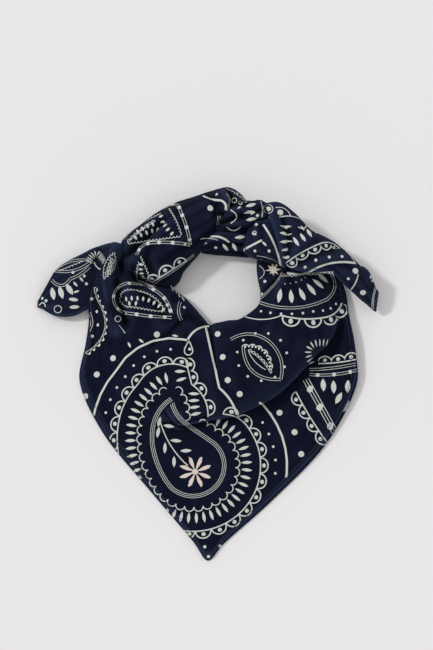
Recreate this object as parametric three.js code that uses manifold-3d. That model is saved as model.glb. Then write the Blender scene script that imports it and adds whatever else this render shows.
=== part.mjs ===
// A square cotton bandana, folded corner to corner, wound into a loose neck loop with its two
// long corners crossed in a half knot at the back, and laid down on a table.
// Millimetres, +X to the right, +Y from the front point towards the knot, +Z up, table at z = 0.
import * as THREE from "three";
import { mergeVertices } from "three/addons/utils/BufferGeometryUtils.js";
import Module from "manifold-3d";

const wasm = await Module();
wasm.setup();

// Driving dimensions
const DOUBLE_CLOTH = 1.3; // two layers of thin cotton lying together, with the air between them
const CUT_GAP = 0.5; // how far a stretch is grown before it cuts its neighbours clear
const LINING_GAP = 0.7; // between the front and the folds under it
const UNDERLAP = 1.6; // how far the lower of the two layers shows past the upper one's hem
const SINGLE_HEM = 1; // height of that lower layer's hem
const NECK_ROLL = 6; // how far out the folded edge at the neck rolls before it lies flat
const NECK_FOOT = 8; // how far under it the rolled cloth reaches on the table
const NECK_SHOULDER = 14; // where the roll has reached two thirds of the crest's height
const FOLD_NOSE = 5.6; // height of the rounded edge of the cowl fold
const NECK_POINT = 6; // smoothed point of the front's section at the neck edge
const FOOT_GAP = 1.2; // from the foot of the neck roll to the folds beside it
const LINING_START = 10; // first smoothed point of the front that the hidden folds lie under
const CROSS_BASE = 19; // height of the underside of the strand that crosses over the knot
const TAIL_CLOTH = 1.2; // the right tail, two layers drawn tight by the knot
const SECTION_STEPS = 2; // smoothing steps between two points of a section
const STATION_STEPS = 2; // smoothing steps between two stations
const SHARPEST_CORNER = 0.4; // cosine past which a grown corner moves out no further
const COTTON = { color: 0x1b2036, roughness: 0.85, metalness: 0 };
const WORN_COTTON = { color: 0x26314a, roughness: 0.88, metalness: 0 };

// Turns rows of numbers into objects with named columns.
function table(columns, rows) {
  const names = columns.split(" ");
  return rows.map((row) => Object.fromEntries(names.map((name, i) => [name, row[i]])));
}

// The front of the loop, station by station from the left of the knot, round the front point,
// to the right of the knot. neck is the folded edge round the opening, fold the edge of the
// cowl that hangs over the point, tuck how deep the cloth turns back under that edge (below
// zero where it only bends), low the height of the layer that comes out again, hem the edge.
const FRONT = table("neckX neckY neckZ crest foldX foldY foldZ tuck low swell hemX hemY hemZ", [
  [-60, 97, 10, 16, -72, 100, 20, -3, 17, 15, -84, 102, 12.5],
  [-60, 87, 9, 17, -76, 87, 22, -3, 18, 15, -88, 88, 12.5],
  [-55, 75, 9, 19, -77, 71, 22, -4, 18, 15, -90, 71, 12.5],
  [-45, 68, 10, 21, -74, 61, 21, -6, 16, 13, -94, 57, 11],
  [-31, 67.5, 11, 20, -67, 53, 18, -9, 14, 10, -95.5, 40, 5],
  [-20, 60.5, 12, 19, -62, 39, 17, -10, 13, 8, -98.5, 20, 2.7],
  [-12, 52.5, 12, 19, -57, 25, 16, -11, 12, 7, -102, -4.5, 2.7],
  [-5, 44, 12, 18, -42, -9, 14, -10, 10.5, 6.5, -83, -48, 2.7],
  [2, 36.5, 12, 17, -25, -46, 13.5, 0, 6.5, 6, -46.5, -99, 2.7],
  [5, 38, 12.5, 17.5, -8, -45, 14.5, 5, 6, 6, -12.5, -139, 2.7],
  [8, 38.5, 13, 18, 3, -43, 15, 6, 6, 6, 0, -154, 2.7],
  [11, 39, 14, 18.5, 11, -42, 15.5, 8, 5.5, 6, 14.5, -141, 2.7],
  [16, 40, 15, 20, 26, -38, 16, 10, 5.5, 5.5, 51, -106, 2.7],
  [24, 40.5, 16, 23, 55, -23, 17, 13, 5.5, 5.5, 93, -56, 2.7],
  [34, 46.5, 17, 26, 84, 7, 17, 12, 5.5, 5, 119.5, -7, 2.7],
  [41, 54, 18, 27, 98, 23, 16, 8, 5.5, 5, 120, 12, 2.7],
  [42, 63, 19, 27, 103, 37, 15, 1, 6.5, 4.5, 117, 30, 2.7],
  [40, 74, 18, 25, 96, 55, 17, -5, 12, 7, 112.5, 49, 2.7],
  [39, 85, 14, 20, 88, 72, 17, -6, 12, 8, 108.5, 67, 2.7],
  [40, 95, 11, 17, 80, 86, 15, -6, 11, 8, 102, 82, 2.7],
  [43, 103, 9, 13, 71, 99, 12, -5, 9, 6, 90, 96, 2.7],
]);

// The front's main creases, from one end to the other: how far each ridge rises (a trough is
// below zero) and how far it spreads.
const CREASES = table("fromX fromY toX toY rise spread", [
  [-78, 86, -79, 66, 3, 9],
  [-79, 66, -72, 32, 4, 9],
  [-60, 74, -66, 44, -4, 8],
  [-30, 34, -58, -4, 3, 9],
  [2, 24, 5, -14, 3, 8],
  [48, 41, 66, 33, 2.5, 8],
]);

// Bands of the loop, knot and tails, station by station along each: outer and inner edge with
// their heights, and the height of the crown between them.
const BAND_COLUMNS = "outerX outerY outerZ innerX innerY innerZ crown";
const LOOP_BACK = table(BAND_COLUMNS, [
  [-68, 83, 10, -45, 73, 8, 20],
  [-70, 93, 13, -36, 72, 11, 27],
  [-69, 105, 14, -26, 76, 13, 31],
  [-54, 118.5, 15, -20, 81, 14, 33],
  [-42, 127.5, 16, -14, 86, 15, 34],
  [-28, 135, 16, -9, 92, 16, 35],
  [-13, 139, 18, -4, 99, 18, 36],
  [3, 144, 20, 2, 106, 20, 37],
  [18, 147.5, 20, 10, 116, 21, 38],
  [26, 147, 18, 17, 125, 20, 33],
]);

const KNOT_ROLL = table(BAND_COLUMNS, [
  [18, 135, 14, 3, 108, 15, 29],
  [25.5, 135.5, 18, 13, 108, 17, 37],
  [33.5, 135.5, 18, 26, 108, 18, 39],
  [42, 136, 18, 38, 111, 19, 38],
  [49, 133, 18, 48, 115, 19, 33],
]);

const LOWER_STRAND = table(BAND_COLUMNS, [
  [-5, 109, 10, -5, 97.5, 7, 20],
  [5, 113, 12, 4, 95.5, 8, 25],
  [16, 113, 13, 16, 94.5, 9, 26],
  [28, 113, 13, 28, 93.5, 9, 25],
  [38, 113, 10, 39, 93.5, 9, 20],
]);

const KNOT_CROSS = table(BAND_COLUMNS, [
  [33, 114, 27, 55, 119, 29, 35],
  [29.5, 103, 27, 58.5, 106, 30, 38],
  [29.5, 92, 26, 60, 93, 29, 36],
  [42, 86, 25, 62, 85, 27, 32],
  [55, 83, 23, 62, 79.5, 24, 27],
]);

const LEFT_TAIL = table(BAND_COLUMNS, [
  [-72, 104.5, 6, -88, 55.5, 5, 8],
  [-83, 103.5, 7, -93, 53, 6, 8.5],
  [-92, 100.5, 8, -99, 48.5, 8, 10],
  [-101, 95.5, 8, -106.5, 45, 8, 12],
  [-113, 89, 8, -115, 44, 8, 12],
  [-122, 82, 8, -123, 45.5, 7, 11],
  [-127.5, 73, 7, -129.5, 49, 5, 9],
  [-132, 65, 5, -133.5, 52, 4, 6],
  [-136.5, 57.5, 2.5, -136.5, 53, 2.5, 3],
]);

// The right tail is a sheet: drop is how far its outer edge curls down.
const RIGHT_TAIL = table("outerX outerY outerZ innerX innerY innerZ crown drop", [
  [45, 132, 30, 60, 79.5, 31, 40, 12],
  [57, 132.5, 30, 73.5, 76, 29, 40, 13],
  [70.5, 123.5, 28, 88, 75.5, 27, 38, 13],
  [83, 110.5, 26, 101.5, 72.5, 26, 36, 12],
  [95, 104.5, 25, 108, 67, 22, 33, 11],
  [106.5, 97, 24, 115, 61.5, 18, 30, 9],
  [118.5, 85, 22, 123, 55, 14, 27, 7],
  [128, 76.5, 20, 127.5, 52.5, 10, 23, 6],
  [132.5, 69, 17, 130.5, 50, 8, 18, 5.5],
  [136.5, 62, 14, 134.5, 48, 5, 13, 5],
]);

// Smooth line through points, with the same number of steps in every span.
function smoothLine(points, steps) {
  const curve = new THREE.CatmullRomCurve3(points, false, "centripetal");
  const last = (points.length - 1) * steps;
  return Array.from({ length: last + 1 }, (_, i) => curve.getPoint(i / last));
}

// Smooths a list of sections along the piece, then each section across it.
function smoothGrid(sections, alongSteps, acrossSteps) {
  const lines = sections[0].map((_, j) => smoothLine(sections.map((s) => s[j]), alongSteps));
  const grid = lines[0].map((_, i) => smoothLine(lines.map((line) => line[i]), acrossSteps));
  grid.flat().forEach((p) => (p.z = Math.max(p.z, 0)));
  return grid;
}

// A point at a distance along a level direction from a base point.
function offsetPoint(base, direction, distance, z) {
  return new THREE.Vector3(base.x + direction.x * distance, base.y + direction.y * distance, z);
}

// The front's section at one station: up over the neck roll, down to the cowl's fold, back
// under it, out again and down to the hem.
function frontSection(row) {
  const neck = new THREE.Vector2(row.neckX, row.neckY);
  const fold = new THREE.Vector2(row.foldX, row.foldY);
  const hem = new THREE.Vector3(row.hemX, row.hemY, row.hemZ);
  const width = fold.distanceTo(neck);
  const out = fold.clone().sub(neck).normalize();
  const hung = THREE.MathUtils.smoothstep(row.tuck, -3, 3);
  const slope = Math.min(3 + 2 * Math.max(0, -row.tuck), 0.4 * fold.distanceTo(hem));
  const fall = row.foldZ - row.low;
  const roll = THREE.MathUtils.clamp(0.16 * width, 2, NECK_ROLL);
  const foot = Math.min(NECK_FOOT, 0.4 * width);
  const shoulder = Math.min(NECK_SHOULDER, 0.28 * width);
  // Where the cloth hangs over, and where it only bends, at the same points of the section.
  const turn = (overhang, overhangZ, share) =>
    offsetPoint(
      fold,
      out,
      THREE.MathUtils.lerp(share * slope, overhang, hung),
      THREE.MathUtils.lerp(row.foldZ - share * fall, overhangZ, hung),
    );
  const nose = Math.min(FOLD_NOSE, 0.65 * fall);
  const noseZ = row.foldZ - nose;
  const outcome = turn(slope + 1, row.low, 1);
  const toHem = (share, z) => outcome.clone().lerp(hem, share).setZ(z);
  return [
    offsetPoint(neck, out, foot, 0),
    offsetPoint(neck, out, foot / 2, 0),
    offsetPoint(neck, out, 0.6, 0.3 * row.neckZ),
    offsetPoint(neck, out, 0, 0.7 * row.neckZ),
    offsetPoint(neck, out, roll / 2, row.neckZ + 0.5),
    offsetPoint(neck, out, shoulder, (row.neckZ + 2 * row.crest) / 3),
    offsetPoint(neck.clone().lerp(fold, 0.5), out, 0, row.crest),
    offsetPoint(fold, out, -5, THREE.MathUtils.lerp(row.foldZ, row.crest, 0.2)),
    turn(0, row.foldZ - nose / 2, 0.1),
    turn(-2.5, noseZ, 0.35),
    turn(-row.tuck, (noseZ + row.low) / 2, 0.6),
    turn(3 - row.tuck, row.low + 0.7, 0.85),
    outcome,
    toHem(0.5, row.swell),
    toHem(0.92, THREE.MathUtils.lerp(row.hemZ, row.swell, 0.3)),
    hem,
  ];
}

// How far the creases lift a point of the front.
function creaseLift(point) {
  return CREASES.reduce((lift, c) => {
    const along = new THREE.Line3(new THREE.Vector3(c.fromX, c.fromY), new THREE.Vector3(c.toX, c.toY));
    const flat = point.clone().setZ(0);
    const share = along.closestPointToPointParameter(flat, false);
    const nearest = along.at(THREE.MathUtils.clamp(share, 0, 1), new THREE.Vector3());
    return lift + c.rise * Math.exp(-((nearest.distanceTo(flat) / c.spread) ** 2));
  }, 0);
}

// Unit normals of a grid of points, on the side that faces up on a level sheet.
function gridNormals(grid) {
  const clampTo = (list, i) => list[THREE.MathUtils.clamp(i, 0, list.length - 1)];
  return grid.map((line, i) =>
    line.map((_, j) => {
      const along = clampTo(grid, i + 1)[j].clone().sub(clampTo(grid, i - 1)[j]);
      const across = clampTo(line, j + 1).clone().sub(clampTo(line, j - 1));
      return across.cross(along).normalize();
    }),
  );
}

// Each normal averaged with its neighbours across the sheet: it grows shorter in a tight bend,
// so that a sheet moved along it doesn't cross itself there.
function easedNormals(normals) {
  return normals.map((line) =>
    line.map((normal, j) => {
      const before = line[Math.max(j - 1, 0)];
      const after = line[Math.min(j + 1, line.length - 1)];
      return normal.clone().add(before.clone().add(after).multiplyScalar(0.5)).multiplyScalar(0.5);
    }),
  );
}

// The grid moved along its normals, eased a number of times, never below a floor height.
function movedGrid(grid, distance, floor, easings) {
  let normals = gridNormals(grid);
  for (let n = 0; n < easings; n++) normals = easedNormals(normals);
  return grid.map((line, i) =>
    line.map((p, j) => {
      const moved = p.clone().addScaledVector(normals[i][j], distance);
      return moved.setZ(Math.max(moved.z, floor));
    }),
  );
}

// A closed solid from points and triangles, with its faces turned outwards.
function closedSolid(points, faces) {
  const vertProperties = Float32Array.from(points.flatMap((p) => [p.x, p.y, p.z]));
  const volume = faces.reduce((sum, [a, b, c]) => {
    return sum + points[a].dot(points[b].clone().cross(points[c]));
  }, 0);
  const turned = volume < 0 ? faces.map(([a, b, c]) => [a, c, b]) : faces;
  const mesh = new wasm.Mesh({ numProp: 3, vertProperties, triVerts: Uint32Array.from(turned.flat()) });
  return new wasm.Manifold(mesh);
}

// A sheet between an upper grid and a lower one of the same size.
function sheetSolid(upper, lower) {
  const rows = upper.length;
  const columns = upper[0].length;
  const index = (side, i, j) => (side * rows + i) * columns + j;
  const faces = [];
  const quad = (a, b, c, d) => faces.push([a, b, c], [a, c, d]);
  for (let i = 0; i < rows - 1; i++) {
    for (let j = 0; j < columns - 1; j++) {
      quad(index(0, i, j), index(0, i, j + 1), index(0, i + 1, j + 1), index(0, i + 1, j));
      quad(index(1, i, j), index(1, i + 1, j), index(1, i + 1, j + 1), index(1, i, j + 1));
    }
    quad(index(0, i, 0), index(0, i + 1, 0), index(1, i + 1, 0), index(1, i, 0));
    const j = columns - 1;
    quad(index(0, i + 1, j), index(0, i, j), index(1, i, j), index(1, i + 1, j));
  }
  for (let j = 0; j < columns - 1; j++) {
    const i = rows - 1;
    quad(index(0, 0, j + 1), index(0, 0, j), index(1, 0, j), index(1, 0, j + 1));
    quad(index(0, i, j), index(0, i, j + 1), index(1, i, j + 1), index(1, i, j));
  }
  return closedSolid([...upper.flat(), ...lower.flat()], faces);
}

// A solid through closed rings of points, with a cap at each end.
function ringSolid(rings) {
  const size = rings[0].length;
  const faces = [];
  for (let i = 0; i < rings.length - 1; i++) {
    for (let j = 0; j < size; j++) {
      const a = i * size + j;
      const b = i * size + ((j + 1) % size);
      faces.push([a, b, b + size], [a, b + size, a + size]);
    }
  }
  const ends = [rings[0], rings.at(-1)];
  const centres = ends.map((ring) => {
    const sum = ring.reduce((total, p) => total.add(p), new THREE.Vector3());
    return sum.divideScalar(size);
  });
  const count = rings.length * size;
  for (let j = 0; j < size; j++) {
    const next = (j + 1) % size;
    faces.push([next, j, count], [count - size + j, count - size + next, count + 1]);
  }
  return closedSolid([...rings.flat(), ...centres], faces);
}

// The rounded section of a band, from under its outer edge over the crown to under its inner
// edge.
function bandSection(row, base) {
  const outer = new THREE.Vector3(row.outerX, row.outerY);
  const inner = new THREE.Vector3(row.innerX, row.innerY);
  const side = (share, edgeZ, rise) => {
    return outer.clone().lerp(inner, share).setZ(THREE.MathUtils.lerp(base, edgeZ, rise));
  };
  const top = (share, edgeZ, rise) => {
    return outer.clone().lerp(inner, share).setZ(THREE.MathUtils.lerp(edgeZ, row.crown, rise));
  };
  return [
    side(0.12, row.outerZ, 0),
    side(0.02, row.outerZ, 0.45),
    side(0, row.outerZ, 1),
    top(0.08, row.outerZ, 0.5),
    top(0.24, row.outerZ, 0.87),
    top(0.5, row.outerZ, 1),
    top(0.76, row.innerZ, 0.87),
    top(0.92, row.innerZ, 0.5),
    side(1, row.innerZ, 1),
    side(0.98, row.innerZ, 0.45),
    side(0.88, row.innerZ, 0),
  ];
}

// A band of wound cloth along its stations, with a flat underside.
function bandSolid(rows, base = 0) {
  const sections = rows.map((row) => bandSection(row, base));
  const rings = smoothGrid(sections, STATION_STEPS, SECTION_STEPS);
  rings.flat().forEach((p) => (p.z = Math.max(p.z, base)));
  return ringSolid(rings);
}

// The section of the right tail, from the edge that curls down over the crown to the other.
function tailSection(row) {
  const outer = new THREE.Vector3(row.outerX, row.outerY, row.outerZ);
  const inner = new THREE.Vector3(row.innerX, row.innerY, row.innerZ);
  const over = (share, edgeZ, rise) => {
    return outer.clone().lerp(inner, share).setZ(THREE.MathUtils.lerp(edgeZ, row.crown, rise));
  };
  return [
    outer.clone().setZ(row.outerZ - row.drop),
    outer.clone().setZ(row.outerZ - row.drop / 2),
    outer,
    over(0.12, row.outerZ, 0.5),
    over(0.3, row.outerZ, 0.88),
    over(0.5, row.outerZ, 1),
    over(0.72, row.innerZ, 0.8),
    over(0.9, row.innerZ, 0.35),
    inner,
  ];
}

// A sheet of cloth below a grid of its upper points.
function clothSolid(grid, thickness) {
  return sheetSolid(grid, movedGrid(grid, -thickness, 0, 1));
}

// The folds inside the front: they fill it under the sheet, flat on the table, and the lower
// hem shows past the upper one.
function hiddenLayers(front) {
  const under = movedGrid(front, -DOUBLE_CLOTH - LINING_GAP, SINGLE_HEM, 2);
  const rings = under.map((line, i) => {
    const top = line.slice(LINING_START);
    const hem = front[i].at(-1);
    const outward = hem.clone().sub(front[i].at(-3)).setZ(0).normalize();
    const lip = offsetPoint(hem, outward, UNDERLAP, top.at(-1).z);
    const floor = lip.clone().setZ(0);
    const inward = front[i][0].clone().sub(front[i][NECK_POINT]).setZ(0).normalize();
    const start = offsetPoint(front[i][0], inward, FOOT_GAP, 0);
    return [...top, lip, floor, start];
  });
  return ringSolid(rings);
}

// The front's upper points, with its creases.
function frontPoints() {
  const grid = smoothGrid(FRONT.map(frontSection), STATION_STEPS, SECTION_STEPS);
  const normals = gridNormals(grid);
  return grid.map((line, i) =>
    line.map((p, j) => {
      const facing = THREE.MathUtils.smoothstep(normals[i][j].z, 0.3, 0.8);
      const nearHem = THREE.MathUtils.clamp((line.length - 1 - j) / 4, 0, 1);
      return p.clone().setZ(p.z + facing * nearHem * creaseLift(p));
    }),
  );
}

// A solid grown by a distance, to cut its neighbours clear of it. Each corner moves out along
// the mean direction of its faces, further where they turn sharply.
function grown(solid, distance) {
  const { vertProperties, triVerts } = solid.getMesh();
  const corner = (k) => new THREE.Vector3().fromArray(vertProperties, 3 * k);
  const faces = [];
  const means = Array.from({ length: vertProperties.length / 3 }, () => new THREE.Vector3());
  for (let k = 0; k < triVerts.length; k += 3) {
    const ids = [...triVerts.slice(k, k + 3)];
    const [a, b, c] = ids.map(corner);
    const normal = new THREE.Triangle(a, b, c).getNormal(new THREE.Vector3());
    const angleAt = (tip, left, right) => left.clone().sub(tip).angleTo(right.clone().sub(tip));
    const angles = [angleAt(a, b, c), angleAt(b, c, a), angleAt(c, a, b)];
    ids.forEach((id, n) => means[id].addScaledVector(normal, angles[n]));
    faces.push({ ids, normal });
  }
  means.forEach((mean) => mean.normalize());
  const facing = means.map(() => 1);
  for (const { ids, normal } of faces) {
    ids.forEach((id) => (facing[id] = Math.min(facing[id], normal.dot(means[id]))));
  }
  const moved = vertProperties.map((value, i) => {
    const id = Math.floor(i / 3);
    return value + (distance / Math.max(facing[id], SHARPEST_CORNER)) * means[id].getComponent(i % 3);
  });
  return new wasm.Manifold(new wasm.Mesh({ numProp: 3, vertProperties: moved, triVerts }));
}

// The geometry of a solid, with its shared vertices.
function toGeometry(solid) {
  const { vertProperties, triVerts } = solid.getMesh();
  const geometry = new THREE.BufferGeometry();
  geometry.setAttribute("position", new THREE.BufferAttribute(vertProperties, 3));
  geometry.setIndex(new THREE.BufferAttribute(triVerts, 1));
  const merged = mergeVertices(geometry, 1e-3);
  merged.computeVertexNormals();
  return merged;
}

// The largest of the bodies that a cut leaves.
function largestBody(solid) {
  return solid.decompose().reduce((best, body) => (body.volume() > best.volume() ? body : best));
}

// Each stretch of cloth, in the order in which the earlier ones cut the later ones clear, and
// how many of the first ones it is clear of as drawn.
const front = frontPoints();
const rightTail = smoothGrid(RIGHT_TAIL.map(tailSection), STATION_STEPS, SECTION_STEPS);
const stretches = [
  ["front_panel", clothSolid(front, DOUBLE_CLOTH), COTTON],
  ["right_tail", clothSolid(rightTail, TAIL_CLOTH), WORN_COTTON],
  ["left_tail", bandSolid(LEFT_TAIL), WORN_COTTON],
  ["back_band", bandSolid(LOOP_BACK), COTTON],
  ["knot_roll", bandSolid(KNOT_ROLL), COTTON],
  ["lower_strand", bandSolid(LOWER_STRAND), COTTON],
  ["knot_cross", bandSolid(KNOT_CROSS, CROSS_BASE), COTTON],
  ["hidden_layers", hiddenLayers(front), COTTON, 1],
];

const group = new THREE.Group();
const cutters = [];
for (const [name, whole, finish, uncut = 0] of stretches) {
  const clear = cutters.slice(uncut).reduce((left, cutter) => left.subtract(cutter), whole);
  const mesh = new THREE.Mesh(toGeometry(largestBody(clear)), new THREE.MeshStandardMaterial(finish));
  mesh.name = name;
  group.add(mesh);
  cutters.push(grown(whole, CUT_GAP));
}

// The origin is on the table under the middle of the whole.
const middle = new THREE.Box3().setFromObject(group).getCenter(new THREE.Vector3());
group.position.set(-middle.x, -middle.y, 0);

export default group;
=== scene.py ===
import logging
import math
from collections.abc import Sequence
from dataclasses import dataclass
from enum import Enum

import bmesh
import bpy
import numpy as np
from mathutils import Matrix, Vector
from mathutils.bvhtree import BVHTree


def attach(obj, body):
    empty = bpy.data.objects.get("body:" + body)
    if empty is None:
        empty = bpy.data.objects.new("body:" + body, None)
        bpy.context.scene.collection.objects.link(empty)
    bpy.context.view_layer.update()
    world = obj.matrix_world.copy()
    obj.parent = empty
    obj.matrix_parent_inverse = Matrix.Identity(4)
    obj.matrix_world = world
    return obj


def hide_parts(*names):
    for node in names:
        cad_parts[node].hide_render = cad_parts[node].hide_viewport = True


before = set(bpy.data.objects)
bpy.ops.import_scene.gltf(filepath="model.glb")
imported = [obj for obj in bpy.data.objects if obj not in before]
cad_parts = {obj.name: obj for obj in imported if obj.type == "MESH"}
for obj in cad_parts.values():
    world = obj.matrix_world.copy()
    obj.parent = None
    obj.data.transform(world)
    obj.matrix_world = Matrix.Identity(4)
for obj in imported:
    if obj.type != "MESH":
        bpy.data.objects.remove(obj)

LOG = logging.getLogger("bandana")
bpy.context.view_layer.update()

# The tables are in millimetres, as the part was drawn. The frame's origin is under the middle of
# the whole, which SHIFT carries the drawing's own origin to.
MM = 0.001
SHIFT = np.array([-0.0097, 4.0089, 0.0])
# How far up the table a point that is 1 mm high seems to lie, as the camera sees it.
LEAN = 0.268

# Thickness of the front's two layers and of the tail, the gap that is cut between two pieces, and
# the height at which the strand that crosses the knot begins.
DOUBLE_CLOTH = 1.3
TAIL_CLOTH = 1.2
CUT_GAP = 0.4
CROSS_BASE = 19.0
# Longest steps of the meshes, fine enough for the creases and for the print's rows.
CLOTH_STEP = 2.2
LINING_STEP = 4.0
# Columns before a hem over which the creases fade out.
HEM_FADE = 8
# How often a sheet's normals are evened out before its lower side is set off along them.
LAYER_EASINGS = 6
# Faces that meet at a wider angle than this, in degrees, keep a sharp edge.
SHARP_ANGLE = 50
# Spans of a spline that are shorter than this count as none.
NO_SPAN = 1e-4
TINY = 1e-9

# Points of a crease's line for each span, and how much narrower its pinch is than its ridge.
CREASE_STEPS = 6
PINCH_SHARE = 0.3
# How level the cloth has to be for creases to lift it, from not at all to fully.
LEVEL_FROM, LEVEL_TO = 0.3, 0.8
# Heights over a piece's underside between which the gathers set in.
GATHERS_FROM, GATHERS_TO = 0.5, 6
# Waves that add up to the gathers: strength of each, and its spacing as a share of the mean.
GATHER_WAVES = ((0.6, 1.0), (0.35, 0.57), (0.3, 1.7))
# How far a wave drifts and sways across on its way along a piece.
GATHER_DRIFT = 0.6
GATHER_SWAY = 0.35
# How often a wave swells along a piece, at least and at most, and how much of it swells.
SWELLS = (0.8, 1.8)
SWELL_SHARE = 0.4
# Near the mean height of a wave, so that troughs sink about as far as ridges rise.
WAVE_MEAN = 0.6

# How often the bends of the cloth are evened out before they set its painted shade in the folds and
# painted highlight and wear on the ridges, how much a bend gives, and the shortest edge that counts,
# squared, in square millimetres.
SHADE_AND_WEAR_EASINGS = 5
SHADE_AND_WEAR_PER_BEND = 8.0
SHADE_AND_WEAR_SHORTEST = 0.3
# Rows at both ends of the front's hem that lie under the back band and the right tail.
HEM_HIDDEN_ROWS = 14


def walked(points: np.ndarray) -> np.ndarray:
    """How far each point lies from the first along a line, or along each row of a grid."""
    steps = np.linalg.norm(np.diff(points, axis=-2), axis=-1)
    return np.concatenate([np.zeros((*steps.shape[:-1], 1)), np.cumsum(steps, axis=-1)], axis=-1)


def read(
    parts: bpy.types.bpy_prop_collection, name: str, width: int = 1, kind: type = float
) -> np.ndarray:
    """Reads one attribute of all the points, edges, corners or faces of a mesh.

    Args:
        parts: The points, edges, corners or faces.
        name: The attribute's name.
        width: Numbers in each value.
        kind: Their type.

    Returns:
        Array of the values, with a second axis where a value has more than one number.
    """
    values = np.empty(width * len(parts), kind)
    parts.foreach_get(name, values)
    return values.reshape(-1, width) if width > 1 else values


def linked(name: str, data: bpy.types.ID) -> bpy.types.Object:
    """Makes an object of a mesh, a camera or a lamp and links it to the scene."""
    obj = bpy.data.objects.new(name, data)
    bpy.context.scene.collection.objects.link(obj)
    return obj


def settle(obj: bpy.types.Object) -> None:
    """Puts what an object's modifiers make in place of its mesh."""
    evaluated = obj.evaluated_get(bpy.context.evaluated_depsgraph_get())
    mesh = bpy.data.meshes.new_from_object(evaluated)
    obj.modifiers.clear()
    obj.data = mesh
    mesh.name = obj.name


def even_steps(points: np.ndarray, size: float, least: int) -> list[int]:
    """Steps for each span between rows of points, so that none is longer than a size in mm."""
    gaps = np.linalg.norm(np.diff(points, axis=0), axis=-1).reshape(len(points) - 1, -1).max(axis=1)
    return [max(least, math.ceil(gap / size)) for gap in gaps]


def smooth_line(points: np.ndarray, steps: int | Sequence[int]) -> np.ndarray:
    """Puts a centripetal spline through points.

    Args:
        points: Array of n points, or of n rows of points that are joined one by one.
        steps: Steps in every span, or in each.

    Returns:
        Array of one point or row for each step, and the last one.
    """
    points = np.asarray(points, float)
    counts = [steps] * (len(points) - 1) if isinstance(steps, int) else steps
    padded = np.concatenate([2 * points[:1] - points[1:2], points, 2 * points[-1:] - points[-2:-1]])
    out = []
    for k in range(len(points) - 1):
        p0, p1, p2, p3 = padded[k : k + 4]
        spans = ((p0, p1), (p1, p2), (p2, p3))
        d0, d1, d2 = (np.sqrt(np.linalg.norm(b - a, axis=-1, keepdims=True)) for a, b in spans)
        d1 = np.where(d1 < NO_SPAN, 1.0, d1)
        d0 = np.where(d0 < NO_SPAN, d1, d0)
        d2 = np.where(d2 < NO_SPAN, d1, d2)
        t1 = ((p1 - p0) / d0 - (p2 - p0) / (d0 + d1) + (p2 - p1) / d1) * d1
        t2 = ((p2 - p1) / d1 - (p3 - p1) / (d1 + d2) + (p3 - p2) / d2) * d1
        for w in np.arange(counts[k]) / counts[k]:
            bend = (3 * (p2 - p1) - 2 * t1 - t2) * w**2
            out.append(p1 + t1 * w + bend + (2 * (p1 - p2) + t1 + t2) * w**3)
    out.append(points[-1])
    return np.array(out)


def smooth_grid(sections: np.ndarray, size: float, least: int = 3) -> np.ndarray:
    """Smooths a list of sections along the piece, then each one across it, above the table.

    Args:
        sections: Array of stations, points across and 3.
        size: Longest step between two points of the grid.
        least: Fewest steps in a span.

    Returns:
        Array of rows, columns and 3.
    """
    grid = smooth_line(sections, even_steps(sections, size, least))
    turned = grid.swapaxes(0, 1)
    steps = even_steps(sections.swapaxes(0, 1), size, least)
    grid = smooth_line(turned, steps).swapaxes(0, 1)
    grid[..., 2] = np.maximum(grid[..., 2], 0)
    return grid


def smoothstep(x: np.ndarray | float, low: float, high: float) -> np.ndarray:
    """Rises softly from 0 at low to 1 at high."""
    share = np.clip((x - low) / (high - low), 0, 1)
    return share * share * (3 - 2 * share)


def lerp(a: float, b: float, share: float) -> float:
    """The value at that share of the way from a to b."""
    return a + (b - a) * share


def grid_normals(grid: np.ndarray, easings: int = 0) -> np.ndarray:
    """Normals of a grid of points, upwards on a level sheet.

    Args:
        grid: Array of rows, columns and 3.
        easings: How often each is averaged with its neighbours, which shortens it in a bend.

    Returns:
        Array of the grid's shape.
    """
    normals = np.cross(np.gradient(grid, axis=1), np.gradient(grid, axis=0))
    normals /= np.maximum(np.linalg.norm(normals, axis=2, keepdims=True), TINY)
    for _ in range(easings):
        padded = np.pad(normals, ((0, 0), (1, 1), (0, 0)), mode="edge")
        normals = (padded[:, :-2] + 2 * padded[:, 1:-1] + padded[:, 2:]) / 4
    return normals


@dataclass(frozen=True)
class Crease:
    """A soft ridge, or a trough where rise is below zero, along a line drawn on the table.

    Attributes:
        line: Points of the line as the camera sees them, in millimetres.
        rise: Height of the ridge.
        spread: How far it spreads to each side.
        sharp: Share of its height that is a narrow pinch in the middle.
    """

    line: tuple[tuple[float, float], ...]
    rise: float
    spread: float
    sharp: float = 0.0

    def lift(self, seen: np.ndarray) -> np.ndarray:
        """How far it lifts points that the camera sees at these places."""
        line = smooth_line(np.array(self.line), CREASE_STEPS)
        start, step = line[:-1], np.diff(line, axis=0)
        best = np.full(seen.shape[:-1], np.inf)
        for a, d in zip(start, step):
            share = np.clip(((seen - a) @ d) / (d @ d), 0, 1)
            best = np.minimum(best, np.linalg.norm(seen - a - share[..., None] * d, axis=-1))
        wide = np.exp(-((best / self.spread) ** 2))
        pinch = np.exp(-((best / (PINCH_SHARE * self.spread)) ** 2))
        return self.rise * ((1 - self.sharp) * wide + self.sharp * pinch)


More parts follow.
